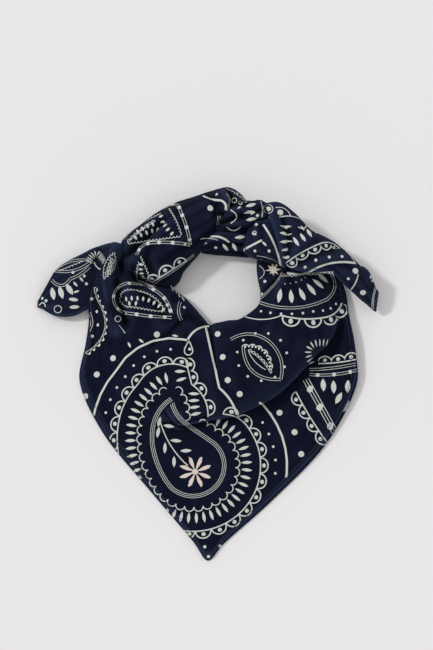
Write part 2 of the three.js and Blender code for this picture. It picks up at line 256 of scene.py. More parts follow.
@dataclass(frozen=True)
class Gathers:
    """Uneven ridges that run lengthwise along a piece, on all its sides.

    Attributes:
        depth: Height of the ridges over the troughs, in millimetres.
        spacing: Mean distance between two ridges.
        seed: Start of the random draws.
    """

    depth: float
    spacing: float
    seed: int

    def lift(self, grid: np.ndarray) -> np.ndarray:
        """How far it lifts each point of a grid."""
        draw = np.random.default_rng(self.seed)
        width = walked(grid)
        full = width[:, -1:]
        across = width / full * full.mean()
        along = np.linspace(0, math.tau, len(grid))[:, None]
        lift = np.zeros(grid.shape[:2])
        for weight, ratio in GATHER_WAVES:
            phase, sway, beat = draw.uniform(0, math.tau, 3)
            drift = draw.uniform(-GATHER_DRIFT, GATHER_DRIFT)
            wave = math.pi * across / (self.spacing * ratio) + phase + drift * along
            wave += GATHER_SWAY * np.sin(along + sway)
            strength = 1 - SWELL_SHARE + SWELL_SHARE * np.sin(draw.uniform(*SWELLS) * along + beat)
            lift += weight * strength * (np.abs(np.sin(wave)) - WAVE_MEAN)
        return self.depth * lift * np.minimum(full / full.mean(), 1)


def seen_places(points: np.ndarray) -> np.ndarray:
    """Where on the table the camera sees points of the drawing."""
    return np.stack([points[..., 0], points[..., 1] + LEAN * points[..., 2]], axis=-1)


def closed_mesh(name: str, points: np.ndarray, faces: Sequence[Sequence[int]]) -> bpy.types.Object:
    """Makes an object of a closed mesh, its faces turned outwards and its place in its mesh.

    Args:
        name: The object's name.
        points: Points of the drawing, in millimetres.
        faces: Corner numbers of each face.

    Returns:
        The new object, linked to the scene.
    """
    triangles = np.array([[f[0], f[k], f[k + 1]] for f in faces for k in range(1, len(f) - 1)])
    a, b, c = (points[triangles[:, k]] for k in range(3))
    if np.einsum("ij,ij->i", a, np.cross(b, c)).sum() < 0:
        faces = [tuple(reversed(f)) for f in faces]
    mesh = bpy.data.meshes.new(name)
    mesh.from_pydata(((points + SHIFT) * MM).tolist(), [], [tuple(map(int, f)) for f in faces])
    mesh.update()
    return linked(name, mesh)


def sheet_mesh(name: str, upper: np.ndarray, lower: np.ndarray) -> bpy.types.Object:
    """A closed sheet between two grids of points of the same size."""
    rows, columns = upper.shape[:2]
    index = np.arange(2 * rows * columns).reshape(2, rows, columns)
    top, under = index
    faces = []
    for grid, turn in ((top, 1), (under, -1)):
        quads = np.stack([grid[:-1, :-1], grid[:-1, 1:], grid[1:, 1:], grid[1:, :-1]], axis=-1)
        faces += quads.reshape(-1, 4)[:, ::turn].tolist()
    rims = ((top[:, 0], under[:, 0], 1), (top[:, -1], under[:, -1], -1))
    rims += ((top[0], under[0], -1), (top[-1], under[-1], 1))
    for edge, below, turn in rims:
        quads = np.stack([edge[:-1], edge[1:], below[1:], below[:-1]], axis=-1)
        faces += quads[:, ::turn].tolist()
    return closed_mesh(name, np.concatenate([upper.reshape(-1, 3), lower.reshape(-1, 3)]), faces)


def ring_mesh(name: str, rings: np.ndarray) -> bpy.types.Object:
    """A closed piece through rings of points, with a cap at each end."""
    count, size = rings.shape[:2]
    index = np.arange(count * size).reshape(count, size)
    closed = np.concatenate([index, index[:, :1]], axis=1)
    quads = np.stack([closed[:-1, :-1], closed[:-1, 1:], closed[1:, 1:], closed[1:, :-1]], axis=-1)
    faces = quads.reshape(-1, 4).tolist()
    first, last = count * size, count * size + 1
    faces += [[closed[0, k + 1], closed[0, k], first] for k in range(size)]
    faces += [[closed[-1, k], closed[-1, k + 1], last] for k in range(size)]
    points = [rings.reshape(-1, 3), rings[0].mean(axis=0)[None], rings[-1].mean(axis=0)[None]]
    return closed_mesh(name, np.concatenate(points), faces)


def grown_copy(obj: bpy.types.Object, distance: float) -> bpy.types.Object:
    """A copy whose points are moved out by a distance in millimetres, to cut its neighbours."""
    copy = linked(obj.name, obj.data.copy())
    corners = copy.data.vertices
    grown = read(corners, "co", 3) + distance * MM * read(corners, "normal", 3)
    corners.foreach_set("co", grown.ravel())
    copy.data.update()
    return copy


def cut_clear(obj: bpy.types.Object, cutters: Sequence[bpy.types.Object]) -> None:
    """Cuts a piece clear of the cutters and keeps the largest body that is left."""
    for cutter in cutters:
        cut = obj.modifiers.new("clear", "BOOLEAN")
        cut.operation = "DIFFERENCE"
        cut.solver = "MANIFOLD"
        cut.object = cutter
    settle(obj)
    keep_largest_body(obj.data)


def keep_largest_body(mesh: bpy.types.Mesh) -> None:
    """Deletes all but the body with the most points."""
    edges = read(mesh.edges, "vertices", 2, int)
    label = np.arange(len(mesh.vertices))
    while True:
        low = np.minimum(label[edges[:, 0]], label[edges[:, 1]])
        fresh = label.copy()
        np.minimum.at(fresh, edges[:, 0], low)
        np.minimum.at(fresh, edges[:, 1], low)
        fresh = fresh[fresh]
        if (fresh == label).all():
            break
        label = fresh
    largest = np.bincount(label).argmax()
    if (label == largest).all():
        return
    body = bmesh.new()
    body.from_mesh(mesh)
    body.verts.ensure_lookup_table()
    stray = [body.verts[k] for k in np.flatnonzero(label != largest)]
    bmesh.ops.delete(body, geom=stray, context="VERTS")
    body.to_mesh(mesh)
    body.free()


def read_table(columns: str, rows: Sequence[Sequence[float]]) -> list[dict[str, float]]:
    """Turns rows of numbers into rows with named columns."""
    return [dict(zip(columns.split(), row)) for row in rows]


FRONT = read_table("neckX neckY neckZ crest foldX foldY foldZ tuck low swell hemX hemY hemZ", [
    (-60, 97, 10, 16, -72, 100, 20, -3, 17, 15, -84, 102, 12.5),
    (-60, 87, 9, 17, -76, 87, 22, -3, 18, 15, -88, 88, 12.5),
    (-55, 75, 9, 19, -77, 71, 22, -4, 18, 15, -90, 71, 12.5),
    (-45, 68, 10, 21, -74, 61, 21, -6, 16, 13, -94, 57, 11),
    (-31, 67.5, 11, 20, -67, 53, 18, -9, 14, 10, -94, 40, 5),
    (-20, 60.5, 12, 19, -62, 39, 17, -10, 13, 8, -97, 20, 2.7),
    (-12, 52.5, 12, 19, -57, 25, 16, -11, 12, 7, -101.4, -5.5, 2.7),
    (-5, 44, 12, 18, -42, -9, 14, -10, 10.5, 6.5, -83.6, -47.5, 2.7),
    (2, 36.5, 12, 17, -25, -46, 13.5, 0, 6.5, 6, -44.2, -98, 2.7),
    (5, 38, 12.5, 17.5, -8, -45, 14.5, 5, 6, 6, -11.2, -138.5, 2.7),
    (8, 38.5, 13, 18, 3, -43, 15, 6, 6, 6, 0, -153.5, 2.7),
    (11, 39, 14, 18.5, 11, -42, 15.5, 8, 5.5, 6, 12.2, -140, 2.7),
    (16, 40, 15, 20, 26, -38, 16, 10, 5.5, 5.5, 49.4, -105.4, 2.7),
    (24, 40.5, 16, 23, 55, -23, 17, 13, 5.5, 6.5, 94.6, -56, 4),
    (34, 46.5, 17, 26, 84, 7, 17, 12, 5.5, 8, 117.6, -8.2, 7.5),
    (41, 54, 18, 27, 98, 23, 17, 8, 6.5, 9, 117.3, 10.4, 9),
    (42, 63, 19, 27, 103, 37, 17, 1, 8, 10, 115.2, 28, 9.5),
    (40, 74, 18, 25, 96, 55, 17, -5, 12, 9.5, 111.3, 47.3, 8.5),
    (39, 85, 14, 20, 88, 72, 17, -6, 12, 9, 108.5, 65.8, 6.5),
    (40, 95, 11, 17, 80, 86, 15, -6, 11, 8, 102, 82, 2.7),
    (43, 103, 9, 13, 71, 99, 12, -5, 9, 6, 90, 96, 2.7),
])

BAND_COLUMNS = "outerX outerY outerZ innerX innerY innerZ crown"
LOOP_BACK = read_table(BAND_COLUMNS, [
    (-68, 83, 10, -44, 71, 8, 20),
    (-70, 93, 13, -32, 67.5, 9, 27),
    (-69, 105, 14, -23.5, 71.5, 11, 31),
    (-54, 118.5, 15, -19.5, 79.5, 13, 33),
    (-42, 127.5, 16, -14, 86, 15, 34),
    (-28, 135, 16, -9, 92, 16, 35),
    (-13, 139, 18, -4, 99, 18, 36),
    (3, 144, 20, 2, 106, 20, 37),
    (17, 147, 20, 8, 115, 21, 38),
    (27, 141, 20, 13.5, 119, 21, 36),
    (32.5, 133.5, 19, 18.5, 123, 20, 30),
])
KNOT_ROLL = read_table(BAND_COLUMNS, [
    (18, 135, 14, 3, 108, 15, 29),
    (25.5, 135.5, 18, 13, 108, 17, 37),
    (33.5, 135.5, 18, 26, 108, 18, 39),
    (42, 136, 18, 38, 111, 19, 38),
    (49, 133, 18, 48, 115, 19, 33),
])
LOWER_STRAND = read_table(BAND_COLUMNS, [
    (-5, 109, 10, -5, 97.5, 7, 20),
    (5, 113, 12, 4, 95.5, 8, 25),
    (16, 113, 13, 16, 94.5, 9, 26),
    (28, 113, 13, 28, 93.5, 9, 25),
    (38, 113, 10, 39, 93.5, 9, 20),
])
KNOT_CROSS = read_table(BAND_COLUMNS, [
    (33, 114, 27, 55, 119, 29, 35),
    (29.5, 103, 27, 58.5, 106, 30, 38),
    (29.5, 92, 26, 60, 93, 29, 36),
    (42, 86, 25, 62, 85, 27, 32),
    (55, 83, 23, 62, 79.5, 24, 27),
])
LEFT_TAIL = read_table(BAND_COLUMNS, [
    (-72, 104.5, 6, -88, 55.5, 5, 8),
    (-83, 103.5, 7, -93, 53, 6, 8.5),
    (-92, 100.5, 8, -99, 48.5, 8, 10),
    (-101, 95.5, 8, -106.5, 45, 8, 12),
    (-113, 89, 8, -115, 44, 8, 12),
    (-122, 82, 8, -123, 45.5, 7, 11),
    (-127.5, 73, 7, -129.5, 49, 5, 9),
    (-132, 65, 5, -133.5, 52, 4, 6),
    (-136.5, 57.5, 2.5, -136.5, 53, 2.5, 3),
])
RIGHT_TAIL = read_table(BAND_COLUMNS + " drop", [
    (45, 132, 30, 60, 79.5, 31, 40, 12),
    (57, 132.5, 30, 73.5, 76, 29, 40, 13),
    (70.5, 123.5, 28, 88, 75.5, 27, 38, 13),
    (83, 110.5, 26, 101.5, 72.5, 26, 36, 12),
    (95, 104.5, 25, 108, 67, 22, 33, 11),
    (106.5, 97, 24, 115, 61.5, 18, 30, 9),
    (118.5, 85, 22, 123, 55, 14, 27, 7),
    (128, 76.5, 20, 127.5, 52.5, 10, 23, 6),
    (132.5, 69, 17, 130.5, 50, 8, 18, 5.5),
    (136.5, 62, 14, 134.5, 48, 5, 13, 5),
])


def folded(
    grid: np.ndarray,
    creases: Sequence[Crease],
    gathers: Gathers,
    base: float = 0,
    hem_columns: int = 0,
) -> np.ndarray:
    """Lifts a grid by its creases on its upward sides, and by its gathers on all.

    Args:
        grid: Array of rows, columns and 3.
        creases: The ridges and troughs that the photo shows.
        gathers: The finer ones all round.
        base: Height of the piece's underside, which stays as it is.
        hem_columns: Columns before the last over which both fade out.

    Returns:
        The lifted grid, above the table.
    """
    normals = grid_normals(grid)
    seen = seen_places(grid)
    lift = sum((c.lift(seen) for c in creases), np.zeros(grid.shape[:2]))
    lift *= smoothstep(normals[..., 2], LEVEL_FROM, LEVEL_TO)
    lift += gathers.lift(grid) * smoothstep(grid[..., 2], base + GATHERS_FROM, base + GATHERS_TO)
    if hem_columns:
        left = grid.shape[1] - 1 - np.arange(grid.shape[1])
        lift *= np.clip(left / hem_columns, 0, 1)
    out = grid + normals * lift[..., None]
    out[..., 2] = np.maximum(out[..., 2], 0)
    return out


@dataclass
class Front:
    """The front of the loop: neck roll, cowl fold, and the two hems that meet at the point.

    Attributes:
        neck_roll: How far out the neck edge rolls at most before the cloth lies flat.
        least_roll: How far it rolls at least.
        roll_share: How far it rolls between them, as a share of the way to the fold.
        neck_foot: How far under it the rolled cloth reaches at most.
        foot_share: The same as a share of the way to the fold.
        neck_shoulder: Where at most the roll has reached two thirds of the crest's height.
        shoulder_share: The same as a share of the way to the fold.
        fold_nose: Height of the rounded edge of the cowl fold, at most.
        nose_share: The same as a share of the fold's fall.
        hang: How far the fold is tucked where it hangs fully, and the other way where it lies.
        lining_gap: Between the front and the folds under it.
        underlap: How far the lower layer shows past the upper one's hem.
        single_hem: Height of that layer's hem.
        foot_gap: From the foot of the neck roll to the folds beside it.
        lining_start: The point of a section where the folds under the front begin.
        hem_width: Width of the turned and stitched hem.
        hem_rise: How much thicker the cloth is there.
        hem_slope: Half the width over which that thickness sets in.
        creases: The ridges and troughs of its upper side.
        gathers: The finer ones on its higher parts.
    """

    neck_roll: float = 6
    least_roll: float = 2
    roll_share: float = 0.16
    neck_foot: float = 8
    foot_share: float = 0.4
    neck_shoulder: float = 14
    shoulder_share: float = 0.28
    fold_nose: float = 5.6
    nose_share: float = 0.65
    hang: float = 3
    lining_gap: float = 0.7
    underlap: float = 1.6
    single_hem: float = 1.0
    foot_gap: float = 1.2
    lining_start: int = 5
    hem_width: float = 5.0
    hem_rise: float = 0.22
    hem_slope: float = 1.2
    creases: tuple[Crease, ...] = ()
    gathers: Gathers = Gathers(0.9, 24, 11)

    def section(self, row: dict[str, float]) -> np.ndarray:
        """The points across one station, from under the neck roll to the hem."""
        neck = np.array([row["neckX"], row["neckY"]], float)
        fold = np.array([row["foldX"], row["foldY"]], float)
        hem = np.array([row["hemX"], row["hemY"], row["hemZ"]], float)
        width = float(np.linalg.norm(fold - neck))
        out = (fold - neck) / width
        hung = float(smoothstep(row["tuck"], -self.hang, self.hang))
        to_hem = math.dist((*fold, 0), hem)
        slope = min(3 + 2 * max(0, -row["tuck"]), 0.4 * to_hem)
        fall = row["foldZ"] - row["low"]
        roll = min(max(self.roll_share * width, self.least_roll), self.neck_roll)
        foot = min(self.neck_foot, self.foot_share * width)
        shoulder = min(self.neck_shoulder, self.shoulder_share * width)
        nose = min(self.fold_nose, self.nose_share * fall)
        nose_z = row["foldZ"] - nose

        def at(base: np.ndarray, distance: float, z: float) -> np.ndarray:
            return np.array([*(base + out * distance), z])

        def turn(overhang: float, z: float, share: float) -> np.ndarray:
            level = row["foldZ"] - share * fall
            return at(fold, lerp(share * slope, overhang, hung), lerp(level, z, hung))

        outcome = turn(slope + 1, row["low"], 1)

        def toward_hem(share: float, z: float) -> np.ndarray:
            return np.array([*lerp(outcome[:2], hem[:2], share), z])

        return np.array([
            at(neck, foot, 0),
            at(neck, foot / 2, 0),
            at(neck, 0.6, 0.3 * row["neckZ"]),
            at(neck, 0, 0.7 * row["neckZ"]),
            at(neck, roll / 2, row["neckZ"] + 0.5),
            at(neck, shoulder, (row["neckZ"] + 2 * row["crest"]) / 3),
            at((neck + fold) / 2, 0, row["crest"]),
            at(fold, -5, lerp(row["foldZ"], row["crest"], 0.2)),
            turn(0, row["foldZ"] - nose / 2, 0.1),
            turn(-2.5, nose_z, 0.35),
            turn(-row["tuck"], (nose_z + row["low"]) / 2, 0.6),
            turn(3 - row["tuck"], row["low"] + 0.7, 0.85),
            outcome,
            toward_hem(0.5, row["swell"]),
            toward_hem(0.92, lerp(row["hemZ"], row["swell"], 0.3)),
            hem,
        ])

    def grid(self) -> np.ndarray:
        """The upper points of the whole front, with its creases."""
        sections = np.array([self.section(row) for row in FRONT])
        grid = smooth_grid(sections, CLOTH_STEP)
        grid = folded(grid, self.creases, self.gathers, hem_columns=HEM_FADE)
        to_hem = walked(grid[:, ::-1])[:, ::-1]
        low, high = self.hem_width - self.hem_slope, self.hem_width + self.hem_slope
        grid[..., 2] += self.hem_rise * (1 - smoothstep(to_hem, low, high))
        return grid

    def build(self, name: str) -> bpy.types.Object:
        """Makes the front as a sheet of its two layers."""
        grid = self.grid()
        lower = grid - DOUBLE_CLOTH * grid_normals(grid, LAYER_EASINGS)
        lower[..., 2] = np.maximum(lower[..., 2], 0)
        return sheet_mesh(name, grid, lower)

    def build_under_layer(self, name: str) -> bpy.types.Object:
        """Makes the folds inside the front, whose hem shows past the upper one."""
        sections = np.array([self.section(row) for row in FRONT])
        grid = smooth_grid(sections, LINING_STEP)
        grid = folded(grid, self.creases, self.gathers, hem_columns=HEM_FADE // 2)
        under = grid - (DOUBLE_CLOTH + self.lining_gap) * grid_normals(grid, LAYER_EASINGS)
        under[..., 2] = np.maximum(under[..., 2], self.single_hem)
        steps = even_steps(sections.swapaxes(0, 1), LINING_STEP, 3)
        top = under[:, sum(steps[: self.lining_start]) :]

        def level(a: np.ndarray, b: np.ndarray) -> np.ndarray:
            way = (a - b) * (1, 1, 0)
            return way / np.linalg.norm(way, axis=1, keepdims=True)

        lip = grid[:, -1] + self.underlap * level(grid[:, -1], grid[:, -3])
        lip[:, 2] = top[:, -1, 2]
        floor = lip * (1, 1, 0)
        start = grid[:, 0] + self.foot_gap * level(grid[:, 0], grid[:, 6])
        start[:, 2] = 0
        rings = [top, lip[:, None], floor[:, None], start[:, None]]
        return ring_mesh(name, np.concatenate(rings, axis=1))


# Points across a band, on its walls and its crown: how far each lies from the outer edge to the
# inner one, the edge that its height goes by, and how far up it stands, as shares.
BAND_PROFILE = (
    ("wall", 0.12, "outerZ", 0),
    ("wall", 0.02, "outerZ", 0.45),
    ("wall", 0, "outerZ", 1),
    ("crown", 0.08, "outerZ", 0.5),
    ("crown", 0.24, "outerZ", 0.87),
    ("crown", 0.5, "outerZ", 1),
    ("crown", 0.76, "innerZ", 0.87),
    ("crown", 0.92, "innerZ", 0.5),
    ("wall", 1, "innerZ", 1),
    ("wall", 0.98, "innerZ", 0.45),
    ("wall", 0.88, "innerZ", 0),
)
# The same for the points over a tail's crown.
TAIL_PROFILE = (
    (0.12, "outerZ", 0.5),
    (0.3, "outerZ", 0.88),
    (0.5, "outerZ", 1),
    (0.72, "innerZ", 0.8),
    (0.9, "innerZ", 0.35),
)
# Fewest steps between two points of a band's and of a tail's sections.
BAND_STEPS = 5
TAIL_STEPS = 4


@dataclass
class Band:
    """A stretch of cloth wound and gathered into a flat roll.

    Attributes:
        name: The piece's name.
        rows: Its edges and crown, station by station.
        creases: The ridges and troughs along it.
        gathers: The finer ones all round it.
        base: Height of its underside.
    """

    name: str
    rows: list[dict[str, float]]
    creases: tuple[Crease, ...]
    gathers: Gathers
    base: float = 0

    def section(self, row: dict[str, float]) -> np.ndarray:
        """The points from under its outer edge over the crown to under its inner edge."""
        outer = np.array([row["outerX"], row["outerY"]], float)
        inner = np.array([row["innerX"], row["innerY"]], float)

        points = []
        for part, share, edge, rise in BAND_PROFILE:
            low, high = (self.base, row[edge]) if part == "wall" else (row[edge], row["crown"])
            points.append([*lerp(outer, inner, share), lerp(low, high, rise)])
        return np.array(points)

    def build(self) -> bpy.types.Object:
        """Makes the band with a flat underside."""
        grid = smooth_grid(np.array([self.section(row) for row in self.rows]), CLOTH_STEP, BAND_STEPS)
        grid[..., 2] = np.maximum(grid[..., 2], self.base)
        return ring_mesh(self.name, folded(grid, self.creases, self.gathers, self.base))


@dataclass
class Tail:
    """The free end on the right: a sheet that curls down at its outer edge.

    Attributes:
        name: The piece's name.
        rows: Its edges, crown and curl, station by station.
        creases: The ridges and troughs along it.
        gathers: The finer ones.
    """

    name: str
    rows: list[dict[str, float]]
    creases: tuple[Crease, ...]
    gathers: Gathers

    def section(self, row: dict[str, float]) -> np.ndarray:
        """The points from the edge that curls down over the crown to the other."""
        outer = np.array([row["outerX"], row["outerY"], row["outerZ"]], float)
        inner = np.array([row["innerX"], row["innerY"], row["innerZ"]], float)

        over = [
            [*lerp(outer[:2], inner[:2], share), lerp(row[edge], row["crown"], rise)]
            for share, edge, rise in TAIL_PROFILE
        ]
        drop = np.array([0, 0, row["drop"]], float)
        return np.array([outer - drop, outer - drop / 2, outer, *over, inner])

    def grid(self) -> np.ndarray:
        """The upper points of the tail, with its creases."""
        grid = smooth_grid(np.array([self.section(row) for row in self.rows]), CLOTH_STEP, TAIL_STEPS)
        return folded(grid, self.creases, self.gathers)

    def build(self) -> bpy.types.Object:
        """Makes the tail as a sheet."""
        grid = self.grid()
        lower = grid - TAIL_CLOTH * grid_normals(grid, LAYER_EASINGS)
        lower[..., 2] = np.maximum(lower[..., 2], 0)
        return sheet_mesh(self.name, grid, lower)


@dataclass
class Studio:
    """The camera at the photo's angle, the pale floor and the soft light.

    Attributes:
        target: The point of the table in the middle of the view, in metres.
        elevation: The camera's angle above the table, in degrees.
        lens: Its focal length in millimetres.
        long_side: Long side of its film, in millimetres.
        height: Length of the table that the long side of the view covers, in metres.
        key: Strength of the lamp.
        key_way: The way from the table to the lamp.
        softness: How wide the lamp looks from the table, in degrees.
        fill: Strength of the even fill.
        floor_reach: How far the table reaches each way, in metres.
    """

    target: tuple[float, float, float] = (0.0068, 0.0429, 0.0)
    elevation: float = 75.0
    lens: float = 500.0
    long_side: float = 36.0
    height: float = 0.52
    key: float = 1.25
    key_way: tuple[float, float, float] = (-0.71, 0.23, 0.77)
    softness: float = 8.0
    fill: float = 0.712
    floor_reach: float = 3.0

    def camera(self) -> None:
        """Makes the scene's camera."""
        data = bpy.data.cameras.new("camera")
        data.lens = self.lens
        data.sensor_width = self.long_side
        camera = linked("camera", data)
        angle = math.radians(self.elevation)
        back = Vector((0, -math.cos(angle), math.sin(angle)))
        camera.location = Vector(self.target) + back * (self.height * self.lens / self.long_side)
        camera.rotation_euler = (-back).to_track_quat("-Z", "Y").to_euler()
        bpy.context.scene.camera = camera

    def floor(self) -> None:
        """Makes the pale table that the bandana lies on."""
        reach = self.floor_reach
        corners = [(-reach, -reach, 0), (reach, -reach, 0), (reach, reach, 0), (-reach, reach, 0)]
        mesh = bpy.data.meshes.new("table_top")
        mesh.from_pydata(corners, [], [(0, 1, 2, 3)])
        mesh.materials.append(PaperFinish().material())
        linked("table_top", mesh)

    def light(self) -> None:
        """Makes a large soft lamp on the left, a little behind, and an even fill."""
        lamp = bpy.data.lights.new("window_lamp", "SUN")
        lamp.energy = self.key
        lamp.angle = math.radians(self.softness)
        turn = Vector(self.key_way).to_track_quat("Z", "Y").to_euler()
        linked("window_lamp", lamp).rotation_euler = turn
        world = bpy.data.worlds.new("studio")
        world.use_nodes = True
        back = world.node_tree.nodes["Background"]
        back.inputs["Color"].default_value = (1, 1, 1, 1)
        back.inputs["Strength"].default_value = self.fill
        bpy.context.scene.world = world
        bpy.context.scene.view_settings.view_transform = "Standard"


def linear(colour: str) -> tuple[float, float, float, float]:
    """Turns an sRGB hex colour to the linear values that a shader takes."""
    parts = [int(colour[k : k + 2], 16) / 255 for k in (1, 3, 5)]
    return (*(p / 12.92 if p <= 0.04045 else ((p + 0.055) / 1.055) ** 2.4 for p in parts), 1.0)


def node(
    tree: bpy.types.NodeTree, kind: str, settings: dict | None = None, links: dict | None = None
) -> bpy.types.Node:
    """Adds a node to a tree.

    Args:
        tree: The tree.
        kind: The node's type.
        settings: Attributes of the node, or values of its sockets by name or number.
        links: Sockets that feed its own, by name or number.

    Returns:
        The new node.
    """
    made = tree.nodes.new(kind)
    for key, value in (settings or {}).items():
        if isinstance(key, str) and hasattr(made, key):
            setattr(made, key, value)
        else:
            made.inputs[key].default_value = value
    for key, source in (links or {}).items():
        tree.links.new(source, made.inputs[key])
    return made


def new_material(name: str, settings: dict) -> tuple[bpy.types.Material, bpy.types.Node]:
    """Makes a material whose shader has these values.

    Args:
        name: The material's name.
        settings: Values of the shader's sockets, by name.

    Returns:
        The material and its shader.
    """
    made = bpy.data.materials.new(name)
    made.use_nodes = True
    shader = made.node_tree.nodes["Principled BSDF"]
    for socket, value in settings.items():
        shader.inputs[socket].default_value = value
    return made, shader


@dataclass(frozen=True)
class PaperFinish:
    """Matt backdrop paper, an even off-white with hardly any shine."""

    colour: str = "#e9e7e8"
    roughness: float = 0.9
    shine: float = 0.2

    def material(self) -> bpy.types.Material:
        """Makes the paper."""
        return new_material("matt_backdrop_paper", {
            "Base Color": linear(self.colour),
            "Roughness": self.roughness,
            "Specular IOR Level": self.shine,
        })[0]


class Blob(Enum):
    """Outline of a dot or petal, as the powers of its two half sizes."""

    OVAL = (2.0, 2.0)
    PETAL_ACROSS = (1.0, 2.0)
    PETAL_ALONG = (2.0, 1.0)


@dataclass(frozen=True)
class Brush:
    """What a stroke of the print leaves along its line, in millimetres.

    Attributes:
        lines: Distances of its lines from the middle, up to three, left of the way it runs.
        line: Half the width of its lines and scallops.
        pitch: Length of one repeat of its blob and scallop, or 0 for one on the whole stroke.
        blob: Distance across, half length along and half length across of its dot or petal.
        shape: The blob's outline.
        scallop: Distance across of the scallops' feet and their radius, below zero to the right.
    """

    lines: tuple[float, ...] = ()
    line: float = 0.5
    pitch: float = 0.0
    blob: tuple[float, float, float] | None = None
    shape: Blob = Blob.OVAL
    scallop: tuple[float, float] | None = None

    def reach(self) -> tuple[float, float]:
        """How far it reaches to the right, as a number below zero, and to the left."""
        low, high = [0.0], [0.0]
        for at in self.lines:
            low.append(at - self.line)
            high.append(at + self.line)
        if self.blob:
            low.append(self.blob[0] - self.blob[2])
            high.append(self.blob[0] + self.blob[2])
        if self.scallop:
            foot, radius = self.scallop
            low.append(min(foot, foot + radius) - self.line)
            high.append(max(foot, foot + radius) + self.line)
        return min(low), max(high)


class Side(Enum):
    """From where a stroke is laid on the cloth, as the way of the view."""

    CAMERA = (0.0, LEAN, -1.0)
    BACK = (0.0, -1.0, -1.0)
    LEFT = (1.0, 0.0, -1.0)
    BELOW = (0.0, 0.0, 1.0)


@dataclass(frozen=True)
class Stroke:
    """One stroke of the print.

    Attributes:
        brush: What it leaves on the cloth.
        line: Points of its line where they are seen on the table from its side, in millimetres.
        warm: Whether its ink is the warm one.
        side: From where it is laid on the cloth.
    """

    brush: Brush
    line: tuple[tuple[float, float], ...]
    warm: bool = False
    side: Side = Side.CAMERA


# Most strokes on one face, and what a face's corners hold of each.
ROWS = 5
ROW_PARTS = ("place", "lines", "sizes", "blob", "form")
# Most lines of one brush, and a distance that no corner has, for a line that isn't there.
LINES = 3
NO_LINE = 99.0
NO_BLOB = (NO_LINE, 0.01, 0.01)
NO_SCALLOP = (NO_LINE, 0.0)
# Lengths in millimetres: between two points of a stroke, over which it passes to another layer,
# and how far past a stroke's ends and edges a face's middle may lie and still be reached.
SAMPLE = 0.7
FOLD_JUMP = 3.2
END_REACH = 3.0
FACE_REACH = 1.8
BOX_MARGIN = 3
# How far above or below a stroke it may lie, beside the line and more for each millimetre across.
HEIGHT_REACH = 1.5
HEIGHT_PER_ACROSS = 0.35
# How far it has to face the way that the stroke does, and how far away from the camera it faces
# where a stroke from another side may begin, as cosines.
LEAST_FACING = 0.1
AWAY_FACING = -0.1
# Points of a stroke to each side of the nearest one that a corner may be nearer to.
WINDOW = 5
# Points of a stroke's line for each span, how often its normals are evened out, and how far from
# the table a view begins.
STROKE_STEPS = 8
NORMAL_EASINGS = 8
VIEW_START = 60.0


